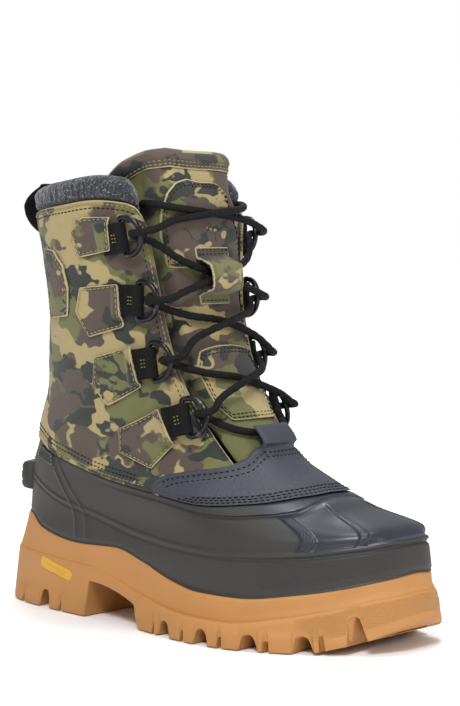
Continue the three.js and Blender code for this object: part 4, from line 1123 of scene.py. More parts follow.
def close_ends(shape, points, share, count, dip=0.0):
    """Sheets from side to side that close the first and last rows of a ring; dip hollows the last."""
    for row, turned in ((0, True), (-1, False)):
        left, right = points[:count, row], points[::-1][:count, row]
        sheet = mix(left[:, None], right[:, None], share)
        if row and dip:
            sheet[..., 2] -= dip * np.sin(np.pi * share[..., 0])
        shape.grid(sheet, turned=turned)


class BOOT_OT_liner(bpy.types.Operator):
    """Felt liner: a thick wall with a rolled collar, open at the throat, and a cup for the foot"""
    bl_idname = "boot.liner"
    bl_label = "Felt liner"

    def execute(self, context):
        pile = sizes().pile / MM
        felt = stock("felt", felt_cloth)
        turns = even_turns(-FELT_EDGE, FELT_EDGE, 430, 200)
        seat = QUARTER_TOP(turns) + 0.8
        top = collar_top(turns)
        theta = np.linspace(0, np.pi, 22)
        rows = [(mix(HEM(turns) + 3, seat - 1.5, s), FELT_OUT) for s in np.linspace(0, 1, 26)]
        swell = [(seat + 0.2, -3.0), (seat + 1.6, -0.6), (seat + 3.5, 0.3), (mix(seat, top, 0.55), 0.4)]
        for here, after in zip(swell, swell[1:]):
            rows += [(mix(here[0], after[0], s), mix(here[1], after[1], s)) for s in (0, 0.5)]
        rows += swell[-1:]
        rows += [(top - 6.0 + 6.0 * np.sin(t), -5.7 + 6.1 * np.cos(t)) for t in theta[1:-1]]
        rows += [(top - 9, -12.0), (top - 16, -12.3)]
        rows += [(mix(top - 16, HEM(turns) + 3, s), FELT_IN) for s in np.linspace(0.1, 1, 24)]
        level, lift = stacked(rows, turns)
        place = np.broadcast_to(turns[:, None], level.shape)
        middle = mix(FELT_OUT, FELT_IN, 0.5)
        ends = rounded((FELT_EDGE - np.abs(place)) * HALF_WAY, 5.0)
        shown = (level > seat[:, None] - 1).astype(float)
        lift = middle + (lift - middle) * mix(0.12, 1, ends)
        level = level - 5 * (1 - ends) * smooth(level, seat[:, None], top[:, None])
        points = skin(level, place, lift)
        rng = np.random.default_rng(11)
        rough = rng.normal(size=level.shape)
        for axis in (0, 1):
            rough = (np.roll(rough, 1, axis) + 2 * rough + np.roll(rough, -1, axis)) / 4
        lump = ripple(points, 9, 4) * 0.45 + ripple(points, 26, 5) * 0.6
        lift = lift + shown * pile * (rough * 1.3 + lump)
        points = skin(level, place, lift)
        nu, nv = level.shape
        closed = np.concatenate([points, points[:, :1]], 1)
        shape = Shape().grid(closed, unroll(arc_length(turns, 200), closed[..., 2]))
        for end, turned in ((0, True), (nu - 1, False)):
            left, right = points[end, :nv // 2], points[end, ::-1][:nv // 2]
            shape.grid(np.stack([left, mix(left, right, 0.5), right], 1), turned=turned)
        build("felt_liner_shaft", shape, felt, ["felt_liner"], sharp=80, weld=1e-5)
        self.cup(felt)
        return {"FINISHED"}

    @staticmethod
    def cup(felt):
        """The foot part: outside and inside rows all the way round, closed by a floor above and below."""
        half = even_turns(0, 1, 110, 40)
        ring = np.concatenate([half, (2 - half[::-1])[1:]])
        floor = BED(ring) + CAVITY
        joggle = np.maximum(GUM_TOP(ring) - 3, floor - 2)
        rim = np.minimum(HEM(ring) + 5, 95)
        step = GUM_TOP(ring) + 4.6
        rows = [(BED(ring) + 6.8, FELT_LOW + 4), (BED(ring) + 9.5, FELT_LOW + 7), (joggle, FELT_LOW + 7)]
        rows += [(step, FELT_OUT)] + [(mix(step, rim, s), FELT_OUT) for s in (0.3, 0.65, 1)]
        rows += [(rim + 1.2, mix(FELT_OUT, FELT_IN, 0.5))]
        for s in np.linspace(0, 1, 9):
            rows.append((mix(rim, floor + 6, s), mix(FELT_IN, FELT_LOW, smooth(s, 0.5, 1))))
        rows += [(floor + 1.5, FELT_LOW - 1.2), (floor, FELT_LOW - 3.5)]
        level, lift = stacked(rows, ring)
        points = skin(level, ring[:, None], lift)
        shape = Shape().grid(points)
        close_ends(shape, points, np.linspace(0, 1, 9)[None, :, None], len(half))
        build("felt_liner_foot", shape, felt, sharp=80, weld=1e-5)


class BOOT_OT_footbed(bpy.types.Operator):
    """Footbed: a soft slab over the liner's floor with a rounded rim"""
    bl_idname = "boot.footbed"
    bl_label = "Footbed"

    def execute(self, context):
        half = even_turns(0, 1, 120, 40)
        ring = np.concatenate([half, (2 - half[::-1])[1:]])
        floor = BED(ring) + CAVITY
        level, lift = stacked([(floor + up, FELT_LOW - inset)
                               for up, inset in ((0.4, 3.4), (1.2, 2.6), (3, 2.5), (4, 3.2))], ring)
        points = skin(level, ring[:, None], lift)
        shape = Shape().grid(points)
        close_ends(shape, points, np.linspace(0, 1, 25)[None, :, None], len(half), dip=0.8)
        pad = stock("footbed", felt_cloth, "footbed_felt", (0.14, 0.145, 0.15))
        build("footbed_pad", shape, pad, ["footbed"], sharp=60, weld=1e-5)
        return {"FINISHED"}


# ---------------------------------------------------------------- shaft
# How far the sewn rows lie from the edge they follow, in mm: quarters' top and throat, their hem,
# the overlay's top, and its foot.
QUARTER_ROWS, HEM_ROWS = (2.3, 4.7), (3.2, 6.0, 8.8)
VAMP_ROWS, FOOT_ROWS = (2.4, 4.9), (3.0, 5.8, 8.6)


def quarter_low(turn):
    place = fold(turn)
    return np.where(place < VAMP_START, HEM(turn), np.maximum(VAMP_TOP(turn), HEM(turn)) - 4)


def sides(turn, side):
    """A place on the outer side, or its mirror on the inner side."""
    return turn if side == "outer" else 2 - turn


class BOOT_OT_quarters(bpy.types.Operator):
    """Quarters: canvas walls from hem to collar with sunk seams, raw edges and soft creases"""
    bl_idname = "boot.quarters"
    bl_label = "Quarters"

    def execute(self, context):
        for number, side in enumerate(("outer", "inner")):
            canvas = camo("quarter_" + side, (0.37 * number, 0.02, 0.11))
            turns = even_turns(0.0007, THROAT_EDGE, 280, 170)
            share = ease_ends(172, 0.35)
            place, rise = np.meshgrid(turns, share, indexing="ij")
            level = mix(quarter_low(place), QUARTER_TOP(place), rise)
            base = skin(level, place)
            _, front, low, high = edge_gaps(base)
            near = np.minimum(front, high)
            seams = sum(0.28 * bell(near, d, 0.6) for d in QUARTER_ROWS)
            hem_on = 1 - smooth(place, 0.55, 0.57)
            seams = seams + hem_on * sum(0.25 * bell(low, d, 0.6) for d in HEM_ROWS)
            creases = 0.5 * ripple(base * (1, 1, 1.7), 46, 21 + number)
            creases = creases + 0.28 * ripple(base * (1, 1, 2.6), 19, 31 + number)
            folds = ripple(base * (0.5, 0.5, 2.2), 22, 41 + number)
            ankle = 0.7 * bell(level, 128, 22) * folds * smooth(place, 0.3, 0.7)
            soft = smooth(np.minimum(near, low), 4, 14)
            heel_seam = -0.5 * bell(place * HALF_WAY, 0.4, 0.9)
            lift = QUARTER_OUT - seams + (creases + ankle) * soft * 0.75 + heel_seam
            lift = lift - 0.8 * (1 - rounded(near, 0.8))
            outer = skin(level, sides(place, side), lift)
            inner = skin(level, sides(place, side), np.full(level.shape, QUARTER_IN))
            uv = unroll(arc_length(turns, 170), level)
            if side == "inner":
                outer, inner, uv, near = outer[::-1], inner[::-1], uv[::-1], near[::-1]
            shape = Shape().wall(outer, inner, uv, edge_mm=near)
            build("quarter_canvas_" + side, shape, canvas, ["quarter_" + side], sharp=60)
            self.seams(side)
        return {"FINISHED"}

    @staticmethod
    def seams(side):
        """Double rows along the top and the throat, triple rows above the hem, a row beside the heel."""
        top_turns = even_turns(0.004, 0.772, 240, 245)
        throat_levels = np.linspace(112, 238, 120)
        light, dark = [], []
        for inset, rows in zip(QUARTER_ROWS, (light, dark)):
            rows.append(skin_path(sides(top_turns, side), QUARTER_TOP(top_turns) - inset, QUARTER_OUT - 0.1))
            throat = np.full(throat_levels.shape, THROAT_EDGE - inset / 128.0)
            rows.append(skin_path(sides(throat, side), throat_levels, QUARTER_OUT - 0.1))
        hem_turns = even_turns(0.004, 0.548, 220, 95)
        for rise, rows in zip(HEM_ROWS, (light, dark, dark)):
            rows.append(skin_path(sides(hem_turns, side), HEM(hem_turns) + rise, QUARTER_OUT - 0.1))
        heel_levels = np.linspace(108, 240, 90)
        dark.append(skin_path(sides(np.full(heel_levels.shape, 0.0125), side), heel_levels, QUARTER_OUT + 0.1))
        sew("quarter_light_stitches_" + side, light, light_thread())
        sew("quarter_dark_stitches_" + side, dark, dark_thread())


class BOOT_OT_overlay(bpy.types.Operator):
    """Vamp overlay: leather over the instep with its lace tab, double rows above and triple rows below"""
    bl_idname = "boot.overlay"
    bl_label = "Vamp overlay"

    def execute(self, context):
        leather = stock("overlay", overlay_leather, "overlay_leather", tints().leather)
        turns = even_turns(VAMP_START + 0.004, 2 - VAMP_START - 0.004, 330, 92)
        place, rise = np.meshgrid(turns, ease_ends(80, 0.4), indexing="ij")
        low, high = HEM(place), np.maximum(VAMP_TOP(place), HEM(place) + 0.3)
        level = mix(low, high, rise)
        base = skin(level, place)
        first, last, below, above = edge_gaps(base)
        near = np.minimum(np.minimum(below, above), np.minimum(first, last))
        seams = sum(0.3 * bell(above, d, 0.6) for d in VAMP_ROWS)
        seams = seams + sum(0.3 * bell(below, d, 0.65) for d in FOOT_ROWS)
        puff = 0.5 * smooth(near, 6, 16) + 0.25 * ripple(base, 30, 51) * smooth(near, 4, 12)
        lift = QUARTER_OUT + 0.7 - seams + puff - 1.1 * (1 - rounded(near, 1.1))
        outer = skin(level, place, lift)
        inner = skin(level, place, np.full(level.shape, QUARTER_IN + 0.3))
        shape = Shape().wall(outer, inner, unroll(arc_length(turns, 92), level), edge_mm=near)
        build("vamp_overlay_leather", shape, leather, ["vamp_overlay"], sharp=60)
        span = even_turns(0.6, 1.4, 200, 100)
        rows = [skin_path(span, VAMP_TOP(span) - inset, QUARTER_OUT + 0.6) for inset in VAMP_ROWS]
        for reach in FOOT_ROWS:
            held = (turns > 0.585 + 0.006 * reach) & (turns < 1.415 - 0.006 * reach)
            after = np.argmax(below >= reach, axis=1)[:, None]
            gap_before, gap_after = (np.take_along_axis(below, k, 1) for k in (after - 1, after))
            low, high = (np.take_along_axis(level, k, 1) for k in (after - 1, after))
            height = mix(low, high, (reach - gap_before) / (gap_after - gap_before))[:, 0]
            rows.append(skin_path(turns[held], height[held], QUARTER_OUT + 0.55 + 0.5 * smooth(reach, 6, 16)))
        sew("overlay_stitches", rows, dark_thread(), radius=0.42)
        self.tab(leather)
        return {"FINISHED"}

    @staticmethod
    def tab(leather):
        """Lace tab: a strap of leather that rises over the lowest run of the lace."""
        turns = even_turns(1 - 0.049, 1 + 0.049, 40, 114)
        rise = Curve([(100, 1.7), (106, 2.2), (109, 3.6), (112, 6.4), (116, 6.9), (121.3, 6.4)])
        level = np.linspace(101, 121.3, 46)
        place, height = np.meshgrid(turns, level, indexing="ij")
        base = skin(height, place)
        first, last, _, above = edge_gaps(base)
        near = np.minimum(np.minimum(first, last), above)
        narrow = 1 - 0.1 * smooth(height, 108, 121)
        place = 1 + (place - 1) * narrow
        lift = rise(height) - 0.9 * (1 - rounded(near, 0.9))
        outer = skin(height, place, lift)
        inner = skin(height, place, rise(height) - 1.9)
        uv = np.stack([base[..., 0], height], -1)
        build("lace_tab", Shape().wall(outer, inner, uv, edge_mm=near), leather, sharp=60)
        across = even_turns(1 - 0.044, 1 + 0.044, 30, 106)
        rows = [skin_path(across, np.full(across.shape, z), rise(z) - 0.1) for z in (103.6, 106.0)]
        sew("lace_tab_stitches", rows, dark_thread(), radius=0.42)


# ---------------------------------------------------------------- tongue
TONGUE_HALF = Curve([(96, 0.17), (112, 0.17), (125, 0.185), (140, 0.24), (155, 0.29), (200, 0.31), (245, 0.35),
                     (284, 0.36)])
TONGUE_WIDE = 0.36  # half the tongue's width at its crown, in turns


def crown_lean(level):
    """How far the tongue leans towards the outer side at a height, in turns."""
    return 0.075 * smooth(level, 225, 274)


def tongue_point(u, level, depth):
    """A point on the tongue: u runs from -1 to 1 across it. Its sides sink under the quarters, and its crown
    leans outwards."""
    turn = 1 + u * TONGUE_HALF(level) - crown_lean(level)
    rest = mix(-2.3, -1.6, smooth(level, 110, 120))
    inner = smooth(level, 236, 262) * (turn > 1)
    sink = smooth(np.abs(turn - 1), 0.1 - 0.07 * inner, 0.205 - 0.05 * inner) * smooth(level, 112, 137)
    crown = mix(-18.55, -8.0, smooth(level, 260, 281) * (turn < 1))
    return skin(level, turn, mix(rest, crown, sink) + depth)


def on_tongue(turn, level, height):
    return tongue_point((turn - 1) / TONGUE_HALF(level), level, height)


def crown_canvas():
    return camo("crown", (0.83, 0.5, 0.21))


def tongue_path(turns, levels, height):
    low = on_tongue(turns, levels, height)
    out = on_tongue(turns, levels, height + 1.0) - low
    return low, unit(out)


class BOOT_OT_tongue(bpy.types.Operator):
    """Tongue: a padded sheet from the overlay to the crown, canvas outside and fleece within"""
    bl_idname = "boot.tongue"
    bl_label = "Tongue"

    def execute(self, context):
        u, share = np.meshgrid(np.linspace(-1, 1, 190), np.linspace(0, 1, 260), indexing="ij")
        top = TONGUE_TOP(1 + TONGUE_WIDE * u)
        level = mix(96.0, top, share)
        from_top = top - level
        edge = (1 - np.abs(u)) * TONGUE_HALF(level) * 125
        seam = sum(bell(from_top, d, 0.8) for d in (8.9, 11.4))
        roll = 1.0 * smooth(from_top, 0, 4) * (1 - smooth(from_top, 6, 8.9))
        base = tongue_point(u, level, 0)
        quilt = 0.35 * ripple(base, 24, 61) * smooth(from_top, 17, 24) * smooth(level, 125, 140)
        bent = smooth(level, 150, 168) * (1 - smooth(level, 196, 206))
        folds = 0.5 * ripple(base * (0.5, 0.5, 2), 20, 62) * bent
        body = rounded(np.minimum(edge, 30), 3.0) * rounded(from_top, 3.4)
        wall = mix(1.6, 5.0, smooth(level, 113, 124))
        depth = 0.3 + roll - 0.7 * seam + quilt + folds
        depth = mix(-0.5 * wall, depth, body)
        back = mix(-0.5 * wall, -wall, body)
        outer = tongue_point(u, level, depth)
        inner = tongue_point(u, level, back)
        uv = np.stack([u * 40, level], -1)
        shape = Shape().wall(outer, inner, uv, inner_mark=1, edge_mm=np.full(u.shape, FAR))
        cloths = [camo("tongue", (0.61, 0.2, 0.4)), stock("fleece", felt_cloth, "fleece", (0.09, 0.09, 0.095))]
        made = build("tongue_pad", shape, cloths, ["tongue"], sharp=60)
        self.top_panel()
        self.lower_panel()
        self.patch()
        self.keeper()
        return {"FINISHED"}

    @staticmethod
    def top_panel():
        """Crown panel: canvas laid over the crown of the tongue, sewn with a double row at its foot."""
        u, share = np.meshgrid(np.linspace(-0.93, 0.93, 170), ease_ends(46, 0.3), indexing="ij")
        top = TONGUE_TOP(1 + TONGUE_WIDE * u)
        drop = mix(11.4, 1.5, share)
        level = top - drop
        base = tongue_point(u, level, 1.4)
        first, last, below, above = edge_gaps(base)
        near = np.minimum(below, np.minimum(first, last))
        seam = sum(0.32 * bell(below, d, 0.6) for d in (2.1, 4.3))
        puff = 1.2 * smooth(below, 3, 6) * (0.3 + 0.7 * rounded(above, 6)) + 0.25 * ripple(base, 17, 63)
        tuck = 1 - rounded(above, 5)
        outer = tongue_point(u, level, 0.9 + puff - seam - 0.6 * (1 - rounded(near, 0.8)) - 1.6 * tuck)
        inner = tongue_point(u, level, 0.25 - 1.4 * tuck)
        shape = Shape().wall(outer, inner, np.stack([u * 40, level], -1), edge_mm=near)
        build("tongue_crown_panel", shape, crown_canvas(), ["tongue_top_panel"], sharp=60)
        places = 1 + np.linspace(-0.9, 0.9, 160) * 0.352
        top = TONGUE_TOP(1 + (places - 1) * TONGUE_WIDE / 0.352)
        rows = [tongue_path(places, top - d, 0.95) for d in (9.3, 7.1)]
        sew("tongue_crown_stitches", rows, light_thread())

    @staticmethod
    def lower_panel():
        """Lower panel: canvas over the shin of the tongue, its edge sewn with two rows."""
        outline = outline_of([(0.925, 124), (0.895, 135), (0.893, 155), (0.93, 164), (1, 167), (1.07, 164),
                              (1.107, 155), (1.105, 135), (1.075, 124)], 5, 2)
        made = plate(outline, lambda t, z, h: on_tongue(t, z, 0.7 + h), 1.1, 0.7,
                     lambda t, z: 0.25 * ripple(on_tongue(t, z, 0), 16, 64))
        build("tongue_shin_panel", made, crown_canvas(), ["tongue_lower_panel"], sharp=60)
        rows = [inset_path(outline, on_tongue, inset, 1.85) for inset in (2.2, 4.6)]
        sew("tongue_shin_stitches", rows, dark_thread())

    @staticmethod
    def patch():
        """Arched patch under the crown: canvas with a pressed, sewn border and one plain bar."""
        outline = outline_of([(0.868, 213), (0.868, 232), (0.88, 246), (0.905, 257), (0.94, 263.5),
                              (0.975, 265.8), (1.005, 263.5), (1.026, 257), (1.042, 246), (1.068, 232),
                              (1.08, 213)], 5, 2)
        outline[:, 0] += crown_lean(outline[:, 1])

        def relief(turn, level):
            bar = 0.5 * bell(level, 236, 4) * bell(turn, 1, 0.06)
            return bar + 0.2 * ripple(on_tongue(turn, level, 0), 14, 65)

        made = plate(outline, lambda t, z, h: on_tongue(t, z, 0.7 + h), 1.6, 1.0, relief)
        canvas = camo("shield", (0.47, 0.31, 0.62), 0.8)
        build("tongue_shield", made, canvas, ["tongue_patch"], sharp=50)
        rows = [inset_path(outline, on_tongue, inset, 2.25) for inset in (1.8, 3.6)]
        sew("tongue_shield_stitches", rows, dark_thread())

    @staticmethod
    def keeper():
        """Lace keeper: a band of leather that arches over the crossed lace between its two sewn feet."""
        heights = np.array([191, 196, 198.4, 200.5, 204, 207.5, 211, 214.5, 217.2, 219.5, 225])
        rises = np.array([0.9, 0.9, 6.0, 11.6, 12.6, 12.9, 12.8, 12.2, 7.5, 2.3, 2.1])
        rise = Curve(np.stack([heights, rises], -1))
        turns = even_turns(1 - 0.0245, 1 + 0.0245, 26, 210)
        turns, level = np.meshgrid(turns, np.linspace(191, 225, 110), indexing="ij")
        narrow = 1 - 0.1 * bell(level, 207, 8)
        place = 1 + (turns - 1) * narrow

        def point(turn, z, extra):
            slope = (rise(z + 0.4) - rise(z - 0.4)) / 0.8
            low = on_tongue(turn, z, rise(z))
            out = on_tongue(turn, z, rise(z) + 1.0) - low
            tip = np.stack([np.zeros_like(z), np.zeros_like(z), -slope], -1)
            return low + unit(out + tip) * np.asarray(extra)[..., None]

        base = point(place, level, np.zeros(level.shape))
        first, last, below, above = edge_gaps(base)
        near = np.minimum(np.minimum(first, last), np.minimum(below, above))
        outer = point(place, level, 0.7 - 0.6 * (1 - rounded(near, 0.7)))
        inner = point(place, level, np.full(level.shape, -0.65))
        shape = Shape().wall(outer, inner, np.stack([base[..., 0], level], -1), edge_mm=near)
        printed = camo("keeper", (0.05, 0.52, 0.74), 0.9)
        build("lace_keeper", shape, printed, ["lace_keeper"], sharp=60)
        rows = []
        across = even_turns(1 - 0.021, 1 + 0.021, 24, 220)
        for z in (193.2, 221.0, 223.4):
            low, high = (point(across, np.full(across.shape, z), np.full(across.shape, up)) for up in (0.6, 1.6))
            rows.append((low, high - low))
        sew("lace_keeper_stitches", rows, dark_thread())


# ---------------------------------------------------------------- lacing hardware
STATIONS_OF_LACE = [
    ((0.712, 244), (0.708, 218), [(0.501, 232), (0.566, 243), (0.675, 243), (0.66, 223), (0.527, 219)]),
    ((0.738, 206.5), (0.708, 181), [(0.468, 186), (0.503, 201), (0.662, 203.5), (0.65, 178), (0.508, 171)]),
    ((0.736, 170), (0.706, 145), [(0.484, 141), (0.514, 159), (0.665, 167), (0.655, 143), (0.523, 130)]),
    ((0.774, 137), (0.732, 114), [(0.529, 103), (0.545, 117), (0.69, 131), (0.685, 110), (0.599, 95)]),
]
EYE = RING_WIRE / 2 + 0.55
BAR_LIFT = QUARTER_OUT + BAR_GAP + WEBBING + EYE


def ring_frame(name):
    """Centre of a ring's bar and three directions: towards the throat, off the skin, along the bar."""
    side, number = name.split("_")
    top, bottom, _ = STATIONS_OF_LACE[int(number) - 1]
    sign = 1 if side == "inner" else -1
    upper = skin(top[1], sides(top[0], side), BAR_LIFT)
    lower = skin(bottom[1], sides(bottom[0], side), BAR_LIFT)
    level, turn = (top[1] + bottom[1]) / 2, sides((top[0] + bottom[0]) / 2, side)
    out = skin(level, turn, BAR_LIFT + 1) - skin(level, turn, BAR_LIFT - 1)
    z = (upper - lower) * sign
    z /= np.linalg.norm(z)
    y = out - (out @ z) * z
    y /= np.linalg.norm(y)
    return skin(level, turn, BAR_LIFT), np.cross(y, z), y, z


def tail_height(x):
    """Height of the webbing's upper end over the bar's axis, at a distance towards the throat."""
    return mix(-EYE + WEBBING * 0.5, 1.25, smooth(x, -6.0, -2.2))


def in_frame(frame, x, y, z):
    centre, right, up, along = frame
    x, y, z = np.broadcast_arrays(x, y, z)
    return centre + x[..., None] * right + y[..., None] * up + z[..., None] * along


class BOOT_OT_lacing_patches(bpy.types.Operator):
    """Lacing patches: eight canvas plates with raw edges, each with a webbing tail sewn under it by three bars"""
    bl_idname = "boot.lacing_patches"
    bl_label = "Lacing patches"

    def execute(self, context):
        tape = stock("webbing", woven_tape)
        light, bars = [], []
        for name in RINGS:
            side, number = name.split("_")
            corners = [(sides(t, side), z) for t, z in STATIONS_OF_LACE[int(number) - 1][2]]
            outline = outline_of(corners, 7, 2)
            frame = ring_frame(name)
            centre, right, up, along = frame

            def rise(turn, level):
                """Swell over the webbing tail, which lies flat under the throat end of the patch."""
                off = skin(level, turn, PATCH_SEAT) - centre
                x, z = off @ right, off @ along
                need = np.clip(-EYE + 0.5 - off @ up, 0, 6)
                return need * smooth(x, -18.5, -13.0) * (1 - smooth(np.abs(z), 9.3, 13.0))

            def place(turn, level, height):
                return skin(level, turn, PATCH_SEAT + height)

            swell = lambda t, z: rise(t, z) + 0.22 * ripple(skin(z, t), 14, 70 + int(number))
            canvas = camo("patch_" + number, (0.29 * int(number), 0.4, 0.17 * int(number)))
            made = plate(outline, place, 1.5, 0.6, swell)
            build("lacing_patch_" + name, made, canvas, ["patch_" + name], sharp=60)
            light.append(inset_path(outline, lambda t, z, h: place(t, z, h + rise(t, z)), 1.9, 1.5))
            x = np.linspace(-7.3, -2.9, 14)
            top = tail_height(x) + 0.85
            for z in (-2.1, 0.0, 2.1):
                middle = in_frame(frame, x, top, np.full(x.shape, z))
                bars.append((middle, np.broadcast_to(up, middle.shape)))
            self.webbing(name, frame, tape)
        sew("lacing_patch_stitches", light, light_thread())
        thread = stock("bar_thread", thread_of, "bar_thread", tints().bar_thread)
        sew("webbing_bar_stitches", bars, thread, length=1.3, radius=0.34)
        return {"FINISHED"}

    @staticmethod
    def webbing(name, frame, tape):
        """Tape that runs from under the patch, round the bar of the ring and back beneath itself."""
        angle = np.linspace(-np.pi / 2, np.pi * 0.8, 36)
        radius = EYE + WEBBING / 2
        back = np.linspace(-2.9, -8.6, 14)
        path = [(np.linspace(-13, -1, 10), np.full(10, -radius)),
                (radius * np.cos(angle), radius * np.sin(angle)), (back, tail_height(back))]
        x, y = (np.concatenate([p[k] for p in path]) for k in (0, 1))
        way = unit(np.stack([np.gradient(x), np.gradient(y)], -1))
        z = np.linspace(-9.1, 9.1, 40)
        half = WEBBING / 2 * (0.45 + 0.55 * rounded(9.1 - np.abs(z), 0.9)) * 0.94
        half = half * (1 + 0.07 * np.cos(z * 2 * np.pi / 2.6))
        off_x, off_y = way[:, 1:2] * half, way[:, :1] * half
        outer = in_frame(frame, x[:, None] + off_x, y[:, None] - off_y, z[None, :])
        inner = in_frame(frame, x[:, None] - off_x, y[:, None] + off_y, z[None, :])
        run = travelled(np.hypot(np.diff(x), np.diff(y)))
        uv = np.stack(np.broadcast_arrays(run[:, None], z[None, :]), -1)
        shape = Shape().wall(outer, inner, uv)
        build("webbing_tape_" + name, shape, tape, ["webbing_" + name], sharp=50)


class BOOT_OT_rings(bpy.types.Operator):
    """D-rings: round wire bent into a straight bar and a bow, each turning about its bar"""
    bl_idname = "boot.rings"
    bl_label = "D-rings"

    def execute(self, context):
        wire = stock("wire", plated_wire)
        half, depth = RING_BAR / 2, RING_DEPTH
        s = np.linspace(0, 1, 20)[:-1, None]

        def bezier(p, q, r, t):
            p, q, r, t = (np.array(v, float) for v in (p, q, r, t))
            return (1 - s) ** 3 * p + 3 * (1 - s) ** 2 * s * q + 3 * (1 - s) * s**2 * r + s**3 * t

        def corner(p, q, r):
            p, q, r = (np.array(v, float) for v in (p, q, r))
            return (1 - s) ** 2 * p + 2 * (1 - s) * s * q + s**2 * r

        line = np.concatenate([np.stack([0 * s[:, 0], mix(half - 3, 3 - half, s[:, 0])], -1),
                               corner((0, 3 - half), (0, -half), (2.5, -half)),
                               bezier((2.5, -half), (depth * 0.7, -half), (depth, -half * 0.55), (depth, 0)),
                               bezier((depth, 0), (depth, half * 0.55), (depth * 0.7, half), (2.5, half)),
                               corner((2.5, half), (0, half), (0, half - 3))])
        x = line[:, 0] * math.cos(RING_REST)
        y = line[:, 0] * math.sin(RING_REST)
        for name in RINGS:
            points = in_frame(ring_frame(name), x, y, line[:, 1])
            grid, uv = tube(points, RING_WIRE / 2 * 0.97, 20, closed=True)
            grid = np.concatenate([grid, grid[:1]])
            uv = np.concatenate([uv, uv[:1]])
            shape = Shape().grid(grid, uv, turned=True)
            build("ring_" + name, shape, wire, ["d_ring_" + name], body="ring_" + name, sharp=180,
                  weld=2e-4)
        return {"FINISHED"}


# ---------------------------------------------------------------- lace
LOW, HIGH = 2.9, 7.7
LACE_HALF = [(0.7, 222, -15.1), (0.712, 233, -15.1), (0.735, 242, -15.1), (0.768, 248, -15), (0.796, 250.5, -15),
             (0.82, 251, -7), (0.855, 250.5, -0.5), (0.92, 248.5, 3.5), (1, 245.5, LOW), (1.09, 241, 4.5),
             (1.17, 236, 11.8), (1.219, 234, 14.5), (1.244, 233.5, 12.2), (1.244, 232.5, 7.2), (1.218, 231, 4.7),
             (1.17, 227, 4.4), (1.09, 217.5, 4.6), (1, 208.5, HIGH), (0.9, 199.5, 6.5), (0.84, 195.5, 11.8),
             (0.793, 194, 14.7), (0.768, 193.6, 12.4), (0.768, 192.5, 7.4), (0.794, 191, 4.9), (0.84, 188, 4),
             (0.91, 185, 3), (1, 181, LOW), (1.1, 171, 5), (1.165, 162, 10.8), (1.207, 160, 13.3),
             (1.232, 159.6, 11), (1.232, 158.5, 6), (1.206, 157, 3.9), (1.17, 155, 3.4), (1.09, 151.5, 3.6), (1, 147.5, HIGH),
             (0.9, 137, 7), (0.86, 132, 9.6), (0.827, 129.8, 11.9), (0.802, 129.2, 9.6), (0.802, 128, 4.6),
             (0.83, 126, 2.1), (0.87, 121.5, 1.3), (0.93, 118, 1)]
BIGHTS = ["inner_1", "outer_2", "inner_3", "outer_4", "inner_4", "outer_3", "inner_2", "outer_1"]


def lace_line():
    """The lace's path: half of it and its mirror, passing over where the other passed under."""
    mirror = [(2 - t, z, LOW + HIGH - h if t == 1 else h) for t, z, h in reversed(LACE_HALF)]
    stops = np.array(LACE_HALF + [(1, 116.5, 1)] + mirror)
    knots = skin(stops[:, 1], stops[:, 0], stops[:, 2])
    pins = np.concatenate([[2 * knots[0] - knots[1]], knots, [2 * knots[-1] - knots[-2]]])
    step = np.sqrt(np.linalg.norm(np.diff(pins, axis=0), axis=-1))[:, None]
    a, b, c, d = pins[:-3], pins[1:-2], pins[2:-1], pins[3:]
    da, db, dc = step[:-2], step[1:-1], step[2:]
    leave = ((b - a) / da - (c - a) / (da + db) + (c - b) / db) * db
    reach = ((c - b) / db - (d - b) / (db + dc) + (d - c) / dc) * db
    s = (np.arange(24) / 24)[None, :, None]
    h = (2 * s**3 - 3 * s**2 + 1) * b[:, None] + (s**3 - 2 * s**2 + s) * leave[:, None]
    h = h + (3 * s**2 - 2 * s**3) * c[:, None] + (s**3 - s**2) * reach[:, None]
    fine = np.concatenate([h.reshape(-1, 3), knots[-1:]])
    run = run_of(fine)
    crossings = [24 * i for i in range(1, len(stops) - 1) if stops[i, 0] == 1]
    return fine, run, run[crossings]


